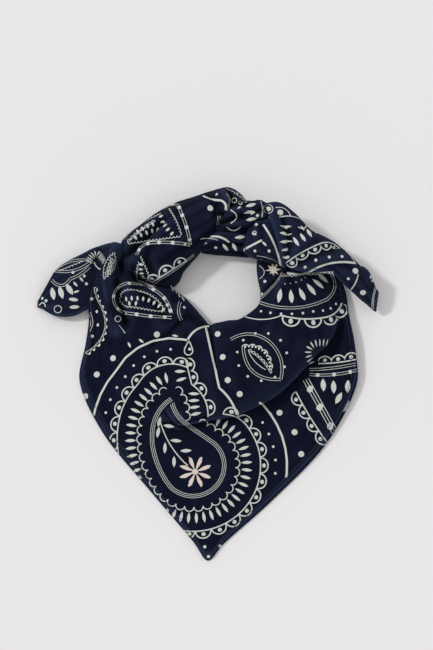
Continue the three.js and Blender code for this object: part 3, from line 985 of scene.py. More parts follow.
class Printer:
    """Lays the strokes on the cloth and gives each face the few that reach it.

    Each stroke is laid on the surface that is seen from its side. A face then holds, at each of its
    corners, how far along and across the stroke that corner lies, so that the material can draw
    the rows of lines, dots, petals and scallops sharply along any fold of the cloth.
    """

    def __init__(self, pieces: Sequence[bpy.types.Object]) -> None:
        """Reads the pieces' points and faces."""
        self.pieces = list(pieces)
        self.owners: list[int] = []
        points: list[np.ndarray] = []
        faces: list[tuple[int, ...]] = []
        self.data = []
        shift = 0
        for number, piece in enumerate(self.pieces):
            mesh = piece.data
            co = read(mesh.vertices, "co", 3) / MM - SHIFT
            loops = read(mesh.loops, "vertex_index", kind=int)
            sizes = read(mesh.polygons, "loop_total", kind=int)
            starts = np.concatenate([[0], np.cumsum(sizes)[:-1]])
            faces += [tuple((loops[a : a + n] + shift).tolist()) for a, n in zip(starts, sizes)]
            self.owners += [number] * len(sizes)
            points.append(co)
            shift += len(co)
            self.data.append({
                "corners": co[loops],
                "face": np.repeat(np.arange(len(sizes)), sizes),
                "normals": read(mesh.polygons, "normal", 3),
                "centres": read(mesh.polygons, "center", 3) / MM - SHIFT,
                "used": np.zeros(len(sizes), int),
                "warm": np.zeros(len(loops)),
                "rows": {(k, part): np.zeros((len(loops), 3)) for k in range(ROWS) for part in ROW_PARTS},
            })
        self.tree = BVHTree.FromPolygons(np.concatenate(points).tolist(), faces)

    def seen(self, place: np.ndarray, side: Side) -> tuple[np.ndarray, np.ndarray, int] | None:
        """The point, normal and piece that is seen at a place on the table from one side.

        From the other sides than the camera's, it gives only what the camera doesn't see.
        """
        way = np.array(side.value)
        start = np.array([*place, 0.0]) - VIEW_START * way
        point, normal, face, _ = self.tree.ray_cast(Vector(start), Vector(way))
        if point is None:
            return None
        if side is not Side.CAMERA and normal.dot(Vector(Side.CAMERA.value)) < AWAY_FACING:
            return None
        return np.array(point), np.array(normal), self.owners[face]

    def laid(self, stroke: Stroke) -> list[dict]:
        """The stretches of a stroke, split where it passes from one layer to another."""
        line = np.array(stroke.line, float)
        if len(line) > 2:
            line = smooth_line(line, STROKE_STEPS)
        along = walked(line)
        count = max(2, int(along[-1] / SAMPLE) + 1)
        want = np.linspace(0, along[-1], count)
        places = np.stack([np.interp(want, along, line[:, k]) for k in range(2)], axis=1)
        hits = [self.seen(place, stroke.side) for place in places]
        runs: list[list] = []
        last = None
        for number, hit in enumerate(hits):
            if hit is None:
                last = None
                continue
            if last is None or hit[2] != last[2] or np.linalg.norm(hit[0] - last[0]) > FOLD_JUMP:
                runs.append([])
            runs[-1].append((number, hit))
            last = hit
        out, total, reached = [], 0.0, 0
        for run in runs:
            if len(run) < 2:
                continue
            total += want[run[0][0]] - want[reached]
            reached = run[-1][0]
            run = [hit for _, hit in run]
            points = np.array([hit[0] for hit in run])
            normals = np.array([hit[1] for hit in run])
            for _ in range(NORMAL_EASINGS):
                padded = np.pad(normals, ((1, 1), (0, 0)), mode="edge")
                normals = (padded[:-2] + 2 * padded[1:-1] + padded[2:]) / 4
            tangents = np.gradient(points, axis=0)
            tangents /= np.linalg.norm(tangents, axis=1, keepdims=True)
            normals -= (normals * tangents).sum(axis=1, keepdims=True) * tangents
            normals /= np.linalg.norm(normals, axis=1, keepdims=True)
            lengths = walked(points)
            out.append({
                "points": points, "normals": normals, "tangents": tangents,
                "sides": np.cross(normals, tangents), "along": total + lengths, "piece": run[0][2],
            })
            total += lengths[-1]
        total += want[-1] - want[reached]
        for run in out:
            run["total"] = total
        return out

    def lay(self, stroke: Stroke) -> None:
        """Gives the faces that a stroke reaches their place along and across it."""
        brush = stroke.brush
        runs = self.laid(stroke)
        low, high = brush.reach()
        taken = [np.zeros(len(data["used"]), bool) for data in self.data]
        for run in sorted(runs, key=lambda r: -len(r["points"])):
            data = self.data[run["piece"]]
            total = run["total"]
            pitch = brush.pitch and total / max(1, round(total / brush.pitch))
            pitch = pitch or total
            points = run["points"]
            margin = max(-low, high) + BOX_MARGIN
            centres = data["centres"]
            near = ((centres > points.min(0) - margin) & (centres < points.max(0) + margin)).all(1)
            near &= (data["used"] < ROWS) & ~taken[run["piece"]]
            near = np.flatnonzero(near)
            if not len(near):
                continue
            gaps = ((centres[near][:, None] - points[None]) ** 2).sum(-1)
            nearest = gaps.argmin(1)
            offset = centres[near] - points[nearest]
            along = (offset * run["tangents"][nearest]).sum(1)
            across = (offset * run["sides"][nearest]).sum(1)
            height = (offset * run["normals"][nearest]).sum(1)
            facing = (data["normals"][near] * run["normals"][nearest]).sum(1)
            good = (across > low - FACE_REACH) & (across < high + FACE_REACH)
            good &= (np.abs(along) < END_REACH) & (facing > LEAST_FACING)
            good &= np.abs(height) < HEIGHT_REACH + HEIGHT_PER_ACROSS * np.abs(across)
            chosen, anchor = near[good], nearest[good]
            if not len(chosen):
                continue
            lookup = np.full(len(centres), -1)
            lookup[chosen] = anchor
            corners = np.flatnonzero(lookup[data["face"]] >= 0)
            base = lookup[data["face"][corners]]
            window = base[:, None] + np.arange(-WINDOW, WINDOW + 1)[None]
            window = np.clip(window, 0, len(points) - 1)
            spots = data["corners"][corners]
            best = ((spots[:, None] - points[window]) ** 2).sum(-1).argmin(1)
            index = window[np.arange(len(window)), best]
            offset = spots - points[index]
            t = run["along"][index] + (offset * run["tangents"][index]).sum(1)
            d = (offset * run["sides"][index]).sum(1)
            slots = data["used"][data["face"][corners]]
            lines = [*brush.lines, *[NO_LINE] * LINES][:LINES]
            blob = brush.blob or NO_BLOB
            scallop = brush.scallop or NO_SCALLOP
            values = {
                "lines": lines,
                "sizes": (brush.line, pitch, scallop[1]),
                "blob": blob,
                "form": (*brush.shape.value, scallop[0]),
            }
            for k in range(ROWS):
                mine = corners[slots == k]
                place = data["rows"][k, "place"]
                place[mine, 0] = t[slots == k]
                place[mine, 1] = d[slots == k]
                place[mine, 2] = total
                for part, value in values.items():
                    data["rows"][k, part][mine] = value
            data["used"][chosen] += 1
            taken[run["piece"]][chosen] = True
            if stroke.warm:
                data["warm"][corners] = 1.0

    def store(self) -> None:
        """Writes the rows to the meshes as attributes of the faces' corners."""
        for piece, data in zip(self.pieces, self.data):
            mesh = piece.data
            for (k, part), values in data["rows"].items():
                layer = mesh.attributes.new(f"row{k}_{part}", "FLOAT_VECTOR", "CORNER")
                layer.data.foreach_set("vector", values.ravel())
            warm = mesh.attributes.new("warm_ink", "FLOAT", "CORNER")
            warm.data.foreach_set("value", data["warm"])


def maths(
    tree: bpy.types.NodeTree, operation: str, *values: bpy.types.NodeSocket | float
) -> bpy.types.NodeSocket:
    """Adds one sum of sockets and numbers and returns its result."""
    settings = {k: v for k, v in enumerate(values) if isinstance(v, (int, float))}
    links = {k: v for k, v in enumerate(values) if not isinstance(v, (int, float))}
    return node(tree, "ShaderNodeMath", {"operation": operation, **settings}, links).outputs[0]


def row_group() -> bpy.types.NodeTree:
    """The nodes that draw one stroke: 1 where its ink is and 0 elsewhere."""
    tree = bpy.data.node_groups.new("ink_of_one_row", "ShaderNodeTree")
    for part in ROW_PARTS:
        tree.interface.new_socket(part, in_out="INPUT", socket_type="NodeSocketVector")
    tree.interface.new_socket("ink", in_out="OUTPUT", socket_type="NodeSocketFloat")
    given = node(tree, "NodeGroupInput")
    parts = {}
    for part in ROW_PARTS:
        split = node(tree, "ShaderNodeSeparateXYZ", links={0: given.outputs[part]})
        parts[part] = [split.outputs[k] for k in range(3)]
    along, across, total = parts["place"]
    half, pitch, radius = parts["sizes"]
    middle, half_along, half_across = parts["blob"]
    power_along, power_across, foot = parts["form"]
    begun = maths(tree, "GREATER_THAN", along, 0.0)
    on = maths(tree, "MULTIPLY", begun, maths(tree, "LESS_THAN", along, total))
    inks = []
    for at in parts["lines"]:
        gap = maths(tree, "ABSOLUTE", maths(tree, "SUBTRACT", across, at))
        inks.append(maths(tree, "LESS_THAN", gap, half))
    turns = maths(tree, "FRACT", maths(tree, "DIVIDE", along, pitch))
    step = maths(tree, "MULTIPLY", maths(tree, "SUBTRACT", turns, 0.5), pitch)
    shares = []
    for gap, size, power in (
        (step, half_along, power_along),
        (maths(tree, "SUBTRACT", across, middle), half_across, power_across),
    ):
        share = maths(tree, "DIVIDE", maths(tree, "ABSOLUTE", gap), size)
        shares.append(maths(tree, "POWER", share, power))
    inks.append(maths(tree, "LESS_THAN", maths(tree, "ADD", *shares), 1.0))
    rise = maths(tree, "SUBTRACT", across, foot)
    squares = [maths(tree, "MULTIPLY", gap, gap) for gap in (step, rise)]
    ring = maths(tree, "SQRT", maths(tree, "ADD", *squares))
    arc = maths(tree, "ABSOLUTE", maths(tree, "SUBTRACT", ring, maths(tree, "ABSOLUTE", radius)))
    outside = maths(tree, "GREATER_THAN", maths(tree, "MULTIPLY", rise, radius), 0.0)
    inks.append(maths(tree, "MULTIPLY", maths(tree, "LESS_THAN", arc, half), outside))
    ink = inks[0]
    for other in inks[1:]:
        ink = maths(tree, "MAXIMUM", ink, other)
    node(tree, "NodeGroupOutput", links={"ink": maths(tree, "MULTIPLY", ink, on)})
    return tree


# Stretches of a line that bows, and of each part of a paisley's outline.
BOW_STEPS = 8
OUTLINE_STEPS = 12


def bowed(start: tuple[float, float], end: tuple[float, float], bow: float = 0.0) -> tuple:
    """Points of a line between two places on the table that bows to one side.

    Args:
        start: Where it begins, in millimetres.
        end: Where it ends.
        bow: How far its middle stands out to the left of the way it runs.

    Returns:
        Its points.
    """
    length = math.dist(start, end)
    left = ((start[1] - end[1]) / length, (end[0] - start[0]) / length)
    shares = [k / BOW_STEPS for k in range(BOW_STEPS + 1)]
    return tuple(
        tuple(start[k] + (end[k] - start[k]) * u + 4 * u * (1 - u) * bow * left[k] for k in range(2))
        for u in shares
    )


def circle(middle: tuple[float, float], radius: float) -> tuple:
    """Points of a circle, to the left from its top."""
    x, y = middle
    turns = [2 * math.pi * (0.25 + k / OUTLINE_STEPS) for k in range(OUTLINE_STEPS + 1)]
    return tuple((x + radius * math.cos(turn), y + radius * math.sin(turn)) for turn in turns)


@dataclass(frozen=True)
class Paisley:
    """A paisley: a round belly that narrows along a bent spine to a tip, with rings round it.

    Attributes:
        belly: Middle of the belly, in millimetres on the table.
        bend: The place that pulls the spine to one side.
        tip: Where the spine ends.
        radius: Half the width of the belly.
        fullness: How long it stays wide on the way to the tip.
    """

    belly: tuple[float, float]
    bend: tuple[float, float]
    tip: tuple[float, float]
    radius: float
    fullness: float = 1.6

    def ring(self, outset: float = 0.0, start: float = 0.0, end: float = 1.0) -> tuple:
        """Points of a line that runs round the paisley at one distance, and round its tip.

        Args:
            outset: The distance from its outline, below zero for a ring inside.
            start: Where it begins, as a share of the way round, down the left side from the tip.
            end: Where it ends.

        Returns:
            Its points.
        """
        belly, bend, tip = (np.array(place, float) for place in (self.belly, self.bend, self.tip))
        share = np.linspace(1, 0, OUTLINE_STEPS + 1)[:, None]
        half = self.radius * (1 - share**self.fullness) + outset
        share, half = share[half[:, 0] >= 0], half[half[:, 0] >= 0]
        spine = (1 - share) ** 2 * belly + 2 * share * (1 - share) * bend + share**2 * tip
        way = (1 - share) * (bend - belly) + share * (tip - bend)
        way /= np.linalg.norm(way, axis=1, keepdims=True)
        left = np.stack([-way[:, 1], way[:, 0]], axis=1)
        quarter = np.linspace(0, 0.5 * math.pi, OUTLINE_STEPS // 2, endpoint=False)[:, None]
        ahead, aside = max(outset, 0) * way[:1], max(outset, 0) * left[:1]
        over_tip = spine[:1] + np.cos(quarter) * ahead + np.sin(quarter) * aside
        behind = np.linspace(0, math.pi, 2 * OUTLINE_STEPS)[1:-1, None]
        round_belly = belly + half[-1] * (np.cos(behind) * left[-1] - np.sin(behind) * way[-1])
        back = spine[:1] + np.cos(quarter[::-1]) * ahead - np.sin(quarter[::-1]) * aside
        down, up = spine + left * half, (spine - left * half)[::-1]
        points = np.concatenate([over_tip, down, round_belly, up, back])
        along = walked(points)
        want = np.linspace(start, end, 3 * OUTLINE_STEPS + 1) * along[-1]
        return tuple(zip(*(np.interp(want, along, points[:, k]).tolist() for k in range(2))))


def strokes(
    brush: Brush, lines: Sequence[tuple], warm: bool = False, side: Side = Side.CAMERA
) -> list[Stroke]:
    """Strokes of one brush along each of these lines."""
    return [Stroke(brush, line, warm, side) for line in lines]


THICK = Brush(lines=(0,), line=0.85)
LINE = Brush(lines=(0,), line=0.45)
FINE = Brush(lines=(0,), line=0.3)
DOUBLE = Brush(lines=(-0.95, 0.95), line=0.2)
TRIPLE = Brush(lines=(-1.4, 0, 1.4), line=0.2)
SCALLOPS = Brush(lines=(0,), line=0.5, pitch=12.8, blob=(2.8, 1.6, 1.5), scallop=(0, 6.0))
SCALLOPS_R = Brush(lines=(0,), line=0.5, pitch=12.8, blob=(-2.8, 1.6, 1.5), scallop=(0, -6.0))
BIG_SCALLOPS_R = Brush(lines=(0,), line=0.6, pitch=14.6, blob=(-3.0, 1.7, 2.1), scallop=(0, -6.8))
ARCS = Brush(line=0.38, pitch=7.4, scallop=(0, 3.6))
ARCS_R = Brush(line=0.38, pitch=7.4, scallop=(0, -3.6))
ARCHES = Brush(line=0.36, pitch=5.6, blob=(1.0, 0.8, 1.3), scallop=(0, 2.7))
SMALL_ARCS = Brush(lines=(0,), line=0.24, pitch=3.4, scallop=(0, 1.6))
SMALL_ARCS_R = Brush(lines=(0,), line=0.24, pitch=3.4, scallop=(0, -1.6))
LACE = Brush(lines=(0,), line=0.25, pitch=4.8, blob=(2.6, 1.1, 1.0), scallop=(0, 2.2))
CHAIN = Brush(line=0.24, pitch=2.8, scallop=(0, 1.3))
PETALS = Brush(pitch=6.1, blob=(0, 1.25, 4.5), shape=Blob.PETAL_ACROSS)
LONG_PETALS = Brush(pitch=8.6, blob=(0, 1.9, 6.0), shape=Blob.PETAL_ACROSS)
SHORT_PETALS = Brush(pitch=4.6, blob=(0, 0.95, 2.1), shape=Blob.PETAL_ACROSS)
STAR_RING = Brush(pitch=5.0, blob=(0, 1.3, 7.0), shape=Blob.PETAL_ACROSS)
RAYS = Brush(pitch=3.6, blob=(0, 0.6, 3.2), shape=Blob.PETAL_ACROSS)
FINE_RAYS = Brush(pitch=2.1, blob=(0, 0.5, 3.0), shape=Blob.PETAL_ACROSS)
DOTS = Brush(pitch=11.5, blob=(0, 1.05, 1.05))
CLOSE_DOTS = Brush(pitch=8.2, blob=(0, 1.05, 1.05))
TINY_DOTS = Brush(pitch=4.4, blob=(0, 0.55, 0.55))
BEADS = Brush(lines=(-0.95, 0.95), line=0.2, pitch=11.5, blob=(0, 1.6, 1.6))
BEADED_BAND = Brush(lines=(-2.3, 0, 2.3), line=0.3, pitch=16.5, blob=(0, 2.1, 2.1))
BIG_DOT = Brush(blob=(0, 2.4, 2.4))
DOT = Brush(blob=(0, 1.25, 1.25))
PETAL = Brush(blob=(0, 4.6, 1.4), shape=Blob.PETAL_ALONG)
WIDE_PETAL = Brush(blob=(0, 5.4, 2.1), shape=Blob.PETAL_ALONG)
SMALL_PETAL = Brush(blob=(0, 2.6, 0.9), shape=Blob.PETAL_ALONG)
SPIKES = Brush(blob=(0, 6.4, 1.25), shape=Blob.PETAL_ALONG)

GREAT_PAISLEY = Paisley((-12, -77), (-41, -45), (-29, -22), 25, 1.25)
LEFT_PAISLEY = Paisley((-63, 61), (-44, 60), (-29, 45), 12.5, 3)
CONE = Paisley((-52, 79), (-54, 88), (-53, 96), 5.5)
TEAR = Paisley((-15.5, 17.5), (-15.5, 21), (-15, 26), 3.4)

# The print, where it is seen on the table. Places, sizes and bows follow what was read off the
# photo. On the sides that it doesn't show, the same brushes run along the cloth's edges.
PRINT = (
    Stroke(STAR_RING, circle((-10, -82), 6.5), warm=True),
    Stroke(TRIPLE, GREAT_PAISLEY.ring()),
    Stroke(ARCS_R, GREAT_PAISLEY.ring(9, 0.03, 0.87)),
    Stroke(PETALS, GREAT_PAISLEY.ring(18, 0.03, 0.85)),
    Stroke(SCALLOPS_R, GREAT_PAISLEY.ring(29, 0, 0.85)),
    *strokes(DOTS, (
        GREAT_PAISLEY.ring(41, 0.03, 0.21), GREAT_PAISLEY.ring(41, 0.68, 0.79),
    )),
    *strokes(THICK, (
        GREAT_PAISLEY.ring(50, 0.02, 0.21), GREAT_PAISLEY.ring(50, 0.68, 0.8),
        bowed((-16, 27), (1, 38), 3),
    )),
    Stroke(LINE, TEAR.ring()),
    Stroke(DOTS, circle((43, 13), 20)),
    Stroke(BEADS, LEFT_PAISLEY.ring()),
    *strokes(CHAIN, (
        LEFT_PAISLEY.ring(-4.5), CONE.ring(), bowed((-82, 77), (-74, 98), 4),
        bowed((-82, 77), (-74, 98), -4),
    )),
    *strokes(DOUBLE, (
        bowed((-123, 84), (-93, 92), 4), bowed((-123, 84), (-93, 92), -4),
    )),
    *strokes(FINE, (
        circle((21, 142), 2), circle((26, 140), 1.4), circle((37, 115), 1.6),
        circle((48, 135), 3.8), circle((-72, 44), 2.4), circle((-120, 52), 3),
    )),
    Stroke(BIG_DOT, ((-13, -82), (-7.5, -82)), warm=True),
    Stroke(LINE, bowed((-38, -41), (-16, -77), -3)),
    *strokes(PETAL, (
        ((-40.5, -47.5), (-37, -34)), ((-41, -56.5), (-38.5, -43)), ((-25, -45.5), (-37.5, -43.5)),
        ((-19.5, -57), (-31.5, -56)), ((-34.5, -68.5), (-34, -56.5)), ((-24, -65), (-11, -64.5)),
        ((-27, -80), (-27, -67.5)),
    )),
    Stroke(ARCS, bowed((-26, -13), (-18, -40), 3)),
    *strokes(PETALS, (
        bowed((-22, 4), (-20, -9), -1), bowed((-11, -15), (-9, -37), -1),
    )),
    *strokes(SCALLOPS, (
        bowed((-18, 11), (-13, -10), 0), bowed((-13, -10), (0, -37), 4),
    )),
    *strokes(DOT, (
        ((-4, -143.5), (-1, -143.5)), ((8, -143), (11, -143)), ((-1, -151.5), (2, -151.5)),
        ((-16, -133), (-13, -133)),
    )),
    *strokes(THICK, (
        bowed((-2, 38), (9, -13), 0), bowed((9, -13), (23, -35), 2),
    )),
    Stroke(DOT, ((-16, 19), (-13, 19))),
    *strokes(BIG_DOT, (
        ((9, 12.5), (14.5, 12.5)), ((13, -6.5), (18.5, -6.5)), ((22.5, -18), (28, -18)),
        ((54, -33.5), (60, -33.5)), ((66, -49.5), (72, -49.5)), ((71.5, -67.5), (77, -67.5)),
        ((5, 31.5), (10.5, 31.5)), ((-78.5, 11.5), (-73, 11.5)), ((-91.5, -2), (-86, -2)),
        ((-101, -20), (-95, -20)), ((-43.5, 31), (-38, 31)), ((78.5, -14.5), (84, -14.5)),
        ((86, -29.5), (91.5, -29.5)), ((94.5, -45), (100, -45)),
    )),
    *strokes(SMALL_PETAL, (
        ((-64, 25), (-61.5, 20)), ((-55.5, 27.5), (-51, 24)), ((-29, 30.5), (-23.5, 29.5)),
    )),
    *strokes(DOUBLE, (
        bowed((18, 27), (48, 26), 5), bowed((48, 26), (58, -6), 5), bowed((28, 21), (58, -6), -10),
    )),
    Stroke(ARCHES, bowed((27, 20), (49, 2), 8)),
    Stroke(SMALL_ARCS, bowed((32, 18), (50, -1), 2)),
    Stroke(FINE, bowed((32, 18), (46, 2), -2)),
    Stroke(RAYS, bowed((96, 24), (83, 6), -10)),
    *strokes(SPIKES, (
        ((45.5, 84), (58.5, 85)), ((48, 79), (56, 90)), ((52.5, 77.5), (51.5, 91)),
        ((57, 80), (47, 89)),
    ), warm=True),
    Stroke(LONG_PETALS, bowed((53, 64), (94, 81), -8)),
    *strokes(DOUBLE, (
        bowed((40, 58), (95, 60), -6), bowed((95, 60), (98, 82), -5),
    )),
    *strokes(CLOSE_DOTS, (
        bowed((39, 51), (88, 51), -3), bowed((88, 51), (104, 59), -3),
    )),
    Stroke(LINE, bowed((29, 46), (59, 47), -3)),
    *strokes(BIG_SCALLOPS_R, (
        bowed((58, 47), (92, 45), -2), bowed((92, 45), (107, 57), -3),
    )),
    Stroke(TINY_DOTS, bowed((59, 73), (79, 79), -2)),
    Stroke(SMALL_ARCS_R, bowed((59, 80), (100, 83), 0)),
    Stroke(DOUBLE, bowed((60, 82), (42, 61), 1)),
    *strokes(DOT, (
        ((41, 92.5), (44, 92.5)), ((44, 75), (47, 75)), ((42, 64.5), (45.5, 64.5)),
    )),
    Stroke(FINE, bowed((41, 88), (41, 77), 4)),
    Stroke(SCALLOPS, bowed((88, 7), (120, 11), -1)),
    Stroke(DOUBLE, bowed((81, 2), (120, 7), -1)),
    Stroke(BEADS, bowed((81, -2), (120, 2), -2)),
    Stroke(BEADED_BAND, bowed((78, -6), (102, -51), 0)),
    Stroke(SCALLOPS, bowed((95, -58), (70, -16), 1)),
    *strokes(WIDE_PETAL, (
        ((92.5, -19), (91.5, -2.5)), ((100.5, -20.5), (100, -4)), ((111, -19), (112, -4.5)),
        ((101, -27.5), (107.5, -15.5)), ((107, -33.5), (113, -23)),
    )),
    Stroke(PETAL, ((117, -24), (118.5, -14))),
    *strokes(LACE, (
        bowed((-91, 70), (-86, 55), -1), bowed((-86, 55), (-98, 16), 9),
    )),
    Stroke(DOUBLE, bowed((-95, 49), (-95, 34), 2)),
    *strokes(DOT, (
        ((-94.5, 60.5), (-91.5, 60.5)), ((-90.5, 50), (-87.5, 50)), ((-89.5, 39), (-86.5, 39)),
        ((-94, 29.5), (-91, 29.5)),
    )),
    Stroke(FINE, bowed((-71, 39), (-66, 32), 0)),
    *strokes(SHORT_PETALS, (
        bowed((-67, 60), (-34, 50), 5), bowed((-65, 56), (-55, 56), 1),
    )),
    Stroke(DOUBLE, bowed((-22, 58), (-21, 43), -2)),
    *strokes(DOT, (
        ((-20.5, 53.5), (-17.5, 53.5)), ((-34, 55.5), (-31, 55.5)),
    )),
    *strokes(LINE, (
        ((-29.5, 71.5), (-28, 67)), ((-27, 70), (-25, 65.5)), ((-24, 66), (-22.5, 62)),
        ((-21, 62.5), (-19, 59)),
    )),
    Stroke(SCALLOPS, bowed((-45, 74), (-17, 92), 0)),
    Stroke(DOUBLE, bowed((-46, 72), (-11, 97), -1)),
    Stroke(SHORT_PETALS, bowed((-53, 91), (-50, 76), -2)),
    Stroke(SMALL_ARCS, bowed((-81, 80), (-76, 94), 0)),
    Stroke(SMALL_ARCS_R, bowed((-80, 81), (-75, 93), 0)),
    *strokes(BEADS, (
        bowed((-32, 137), (-22, 133), 4), bowed((-22, 133), (-14, 105), 1),
        bowed((-14, 105), (-44, 107), -1), bowed((-44, 107), (-57, 97), -3),
    )),
    *strokes(CHAIN, (
        bowed((-32, 135), (-22, 113), 1), bowed((-22, 113), (-64, 107), 0),
    )),
    *strokes(SHORT_PETALS, (
        bowed((-38, 131), (-27, 113), -2), bowed((-39, 118), (-60, 110), -1),
        bowed((-42, 123), (-58, 115), -1),
    )),
    Stroke(DOUBLE, bowed((-32, 137), (-67, 110), -3)),
    Stroke(CHAIN, bowed((-38, 132), (-59, 118), -1)),
    Stroke(SMALL_ARCS, bowed((-64, 107), (-42, 125), 1)),
    *strokes(THICK, (
        bowed((-4, 146), (10, 142), -1), bowed((10, 142), (14, 134), 2),
    )),
    Stroke(BIG_DOT, ((-1, 135.5), (4.5, 135.5))),
    Stroke(DOT, ((5, 147), (8.5, 147))),
    Stroke(DOUBLE, bowed((15, 148), (14, 134), 3)),
    Stroke(CHAIN, bowed((14, 152), (30, 140), 1)),
    Stroke(SHORT_PETALS, bowed((22, 149), (30, 143), 0)),
    *strokes(PETAL, (
        ((29.5, 136.5), (39, 139.5)), ((27.5, 131), (38, 133)), ((30, 125.5), (39.5, 127)),
    )),
    *strokes(SMALL_PETAL, (
        ((22.5, 134), (27, 138)), ((36, 141.5), (41, 143.5)),
    )),
    *strokes(LINE, (
        bowed((18, 134), (18, 123), 5), bowed((15, 120), (26, 120), -3),
    )),
    Stroke(TRIPLE, bowed((9, 129), (8, 122), 0)),
    *strokes(DOT, (
        ((37, 122), (40.5, 122)), ((38, 129.5), (41, 129.5)),
    )),
    Stroke(BIG_DOT, ((45.5, 135), (51, 135))),
    Stroke(LINE, bowed((42, 142), (43, 128), 1)),
    Stroke(THICK, bowed((2, 112), (17, 107), 2)),
    Stroke(FINE, bowed((-6, 110), (8, 109), 1)),
    *strokes(DOT, (
        ((-3, 106.5), (0, 106.5)), ((4.5, 103), (8, 103)),
    )),
    *strokes(PETAL, (
        ((19, 107.5), (23, 99.5)), ((11.5, 106.5), (16, 100)), ((21.5, 111), (29.5, 112)),
    )),
    *strokes(THICK, (
        bowed((44, 122), (58, 88), 2), bowed((30, 102), (43, 109), 0),
    )),
    Stroke(FINE, bowed((39, 96), (60, 87), 2)),
    *strokes(SMALL_PETAL, (
        ((34.5, 115), (39.5, 113)), ((43, 108), (47, 104)),
    )),
    *strokes(DOT, (
        ((36, 100), (39, 100)), ((27, 101), (30, 101)), ((47, 100), (50.5, 100)),
    )),
    Stroke(PETALS, bowed((62, 123), (64, 92), -1)),
    Stroke(BIG_DOT, ((55, 132), (60.5, 132))),
    *strokes(LINE, (
        bowed((54, 136), (66, 129), 3), bowed((57, 128), (79, 123), 3),
        bowed((79, 123), (72, 120), 3),
    )),
    *strokes(PETAL, (
        ((67.5, 112), (73, 103.5)), ((73, 115.5), (78.5, 107)), ((78.5, 119), (83.5, 110.5)),
    )),
    *strokes(SMALL_PETAL, (
        ((74, 121.5), (77, 116.5)), ((84, 119), (87, 114)),
    )),
    *strokes(SCALLOPS_R, (
        bowed((62, 90), (89, 106), 1), bowed((89, 106), (105, 102), 3),
    )),
    *strokes(DOT, (
        ((76, 86.5), (79, 86.5)), ((84.5, 92.5), (87.5, 92.5)), ((95, 95), (98.5, 95)),
        ((105.5, 95.5), (108.5, 95.5)),
    )),
    *strokes(THICK, (
        bowed((63, 82), (80, 82), -1), bowed((80, 82), (118, 90), 4),
    )),
    Stroke(SMALL_ARCS, bowed((105, 104), (117, 91), 1)),
    *strokes(BIG_DOT, (
        ((115, 83.5), (120.5, 83.5)), ((121, 65.5), (126.5, 65.5)),
    )),
    *strokes(DOT, (
        ((110.5, 77), (113.5, 77)), ((128.5, 78.5), (131.5, 78.5)),
    )),
    Stroke(LINE, bowed((120, 81), (114, 68), 1)),
    Stroke(SMALL_ARCS, bowed((134, 71), (131, 52), -1)),
    Stroke(FINE_RAYS, bowed((-96, 91), (-83, 91), 7)),
    Stroke(LINE, bowed((-91, 91), (-86, 85), -1)),
    Stroke(CHAIN, bowed((-119, 83), (-100, 91), 0)),
    *strokes(DOUBLE, (
        bowed((-125, 76), (-110, 77), -5), bowed((-110, 77), (-95, 87), -1),
    )),
    *strokes(DOT, (
        ((-109.5, 82.5), (-106.5, 82.5)), ((-99, 73), (-95.5, 73)),
        ((-100.5, 79.5), (-97.5, 79.5)), ((-134, 61), (-131, 61)), ((-131, 59), (-128, 59)),
    )),
    *strokes(WIDE_PETAL, (
        ((-125, 70), (-123, 59.5)), ((-119, 71), (-116, 60.5)), ((-113.5, 73), (-108, 64)),
    )),
    *strokes(SMALL_PETAL, (
        ((-108, 75), (-104, 70.5)), ((-108, 65.5), (-102.5, 67.5)), ((-103, 79), (-99.5, 74.5)),
    )),
    *strokes(PETAL, (
        ((-111, 60.5), (-104, 59.5)), ((-110.5, 53.5), (-103, 54)),
    )),
    Stroke(LINE, bowed((-135, 55), (-130, 54), 3)),
    Stroke(SCALLOPS, (
        (27, 128), (17, 134), (3, 131), (-13, 126), (-28, 122), (-42, 114.5), (-54, 105.5),
        (-68, 91), (-69, 80),
    ), side=Side.BACK),
    Stroke(CLOSE_DOTS, (
        (-68, 99), (-54, 113.5), (-42, 122.5), (-28, 130), (-13, 134), (3, 139), (17, 142),
        (27, 136),
    ), side=Side.BACK),
    Stroke(DOUBLE, (
        (-54, 96.5), (-42, 105.5), (-28, 113), (-13, 117), (3, 122), (17, 125), (27, 119),
    ), side=Side.BACK),
    Stroke(PETALS, ((25.5, 123.5), (33.5, 123.5), (42, 124), (49, 121)), side=Side.BACK),
    Stroke(THICK, ((25.5, 131.5), (33.5, 131.5), (42, 132), (49, 129)), side=Side.BACK),
    Stroke(CLOSE_DOTS, (
        (45, 113), (57, 113.5), (70.5, 104.5), (83, 91.5), (95, 85.5), (106.5, 78), (118.5, 66),
        (128, 57.5), (134, 47),
    ), side=Side.BACK),
    Stroke(LINE, (
        (45, 108), (57, 108.5), (70.5, 99.5), (83, 86.5), (95, 80.5), (106.5, 73), (118.5, 61),
        (128, 52.5), (134, 42),
    ), side=Side.BACK),
    Stroke(CLOSE_DOTS, (
        (-76, 99), (-92, 96), (-101, 91), (-113, 84.5), (-122, 77.5), (-128, 68),
    ), side=Side.BACK),
    Stroke(LINE, ((-92, 66), (-95, 44), (-98, 22), (-102, -2), (-84, -46), (-66, -74)), side=Side.LEFT),
    Stroke(THICK, (
        (-88, 84), (-88, 56), (-90, 36), (-92, 18), (-94, -2), (-76, -44), (-44, -86), (-2, -138),
        (4, -140), (45, -98), (84, -52), (108, -8), (111, 12), (108, 30), (100, 60),
    ), side=Side.BELOW),
    Stroke(SCALLOPS, (
        (-78, 70), (-80, 40), (-82, 16), (-80, -8), (-62, -46), (-32, -84), (-2, -118), (6, -118),
        (40, -84), (72, -48), (92, -10), (94, 12), (90, 40),
    ), side=Side.BELOW),
    Stroke(PETALS, (
        (-62, 50), (-64, 20), (-62, -6), (-46, -40), (-22, -70), (0, -94), (26, -74), (56, -42),
        (74, -8), (74, 20),
    ), side=Side.BELOW),
    Stroke(TRIPLE, (
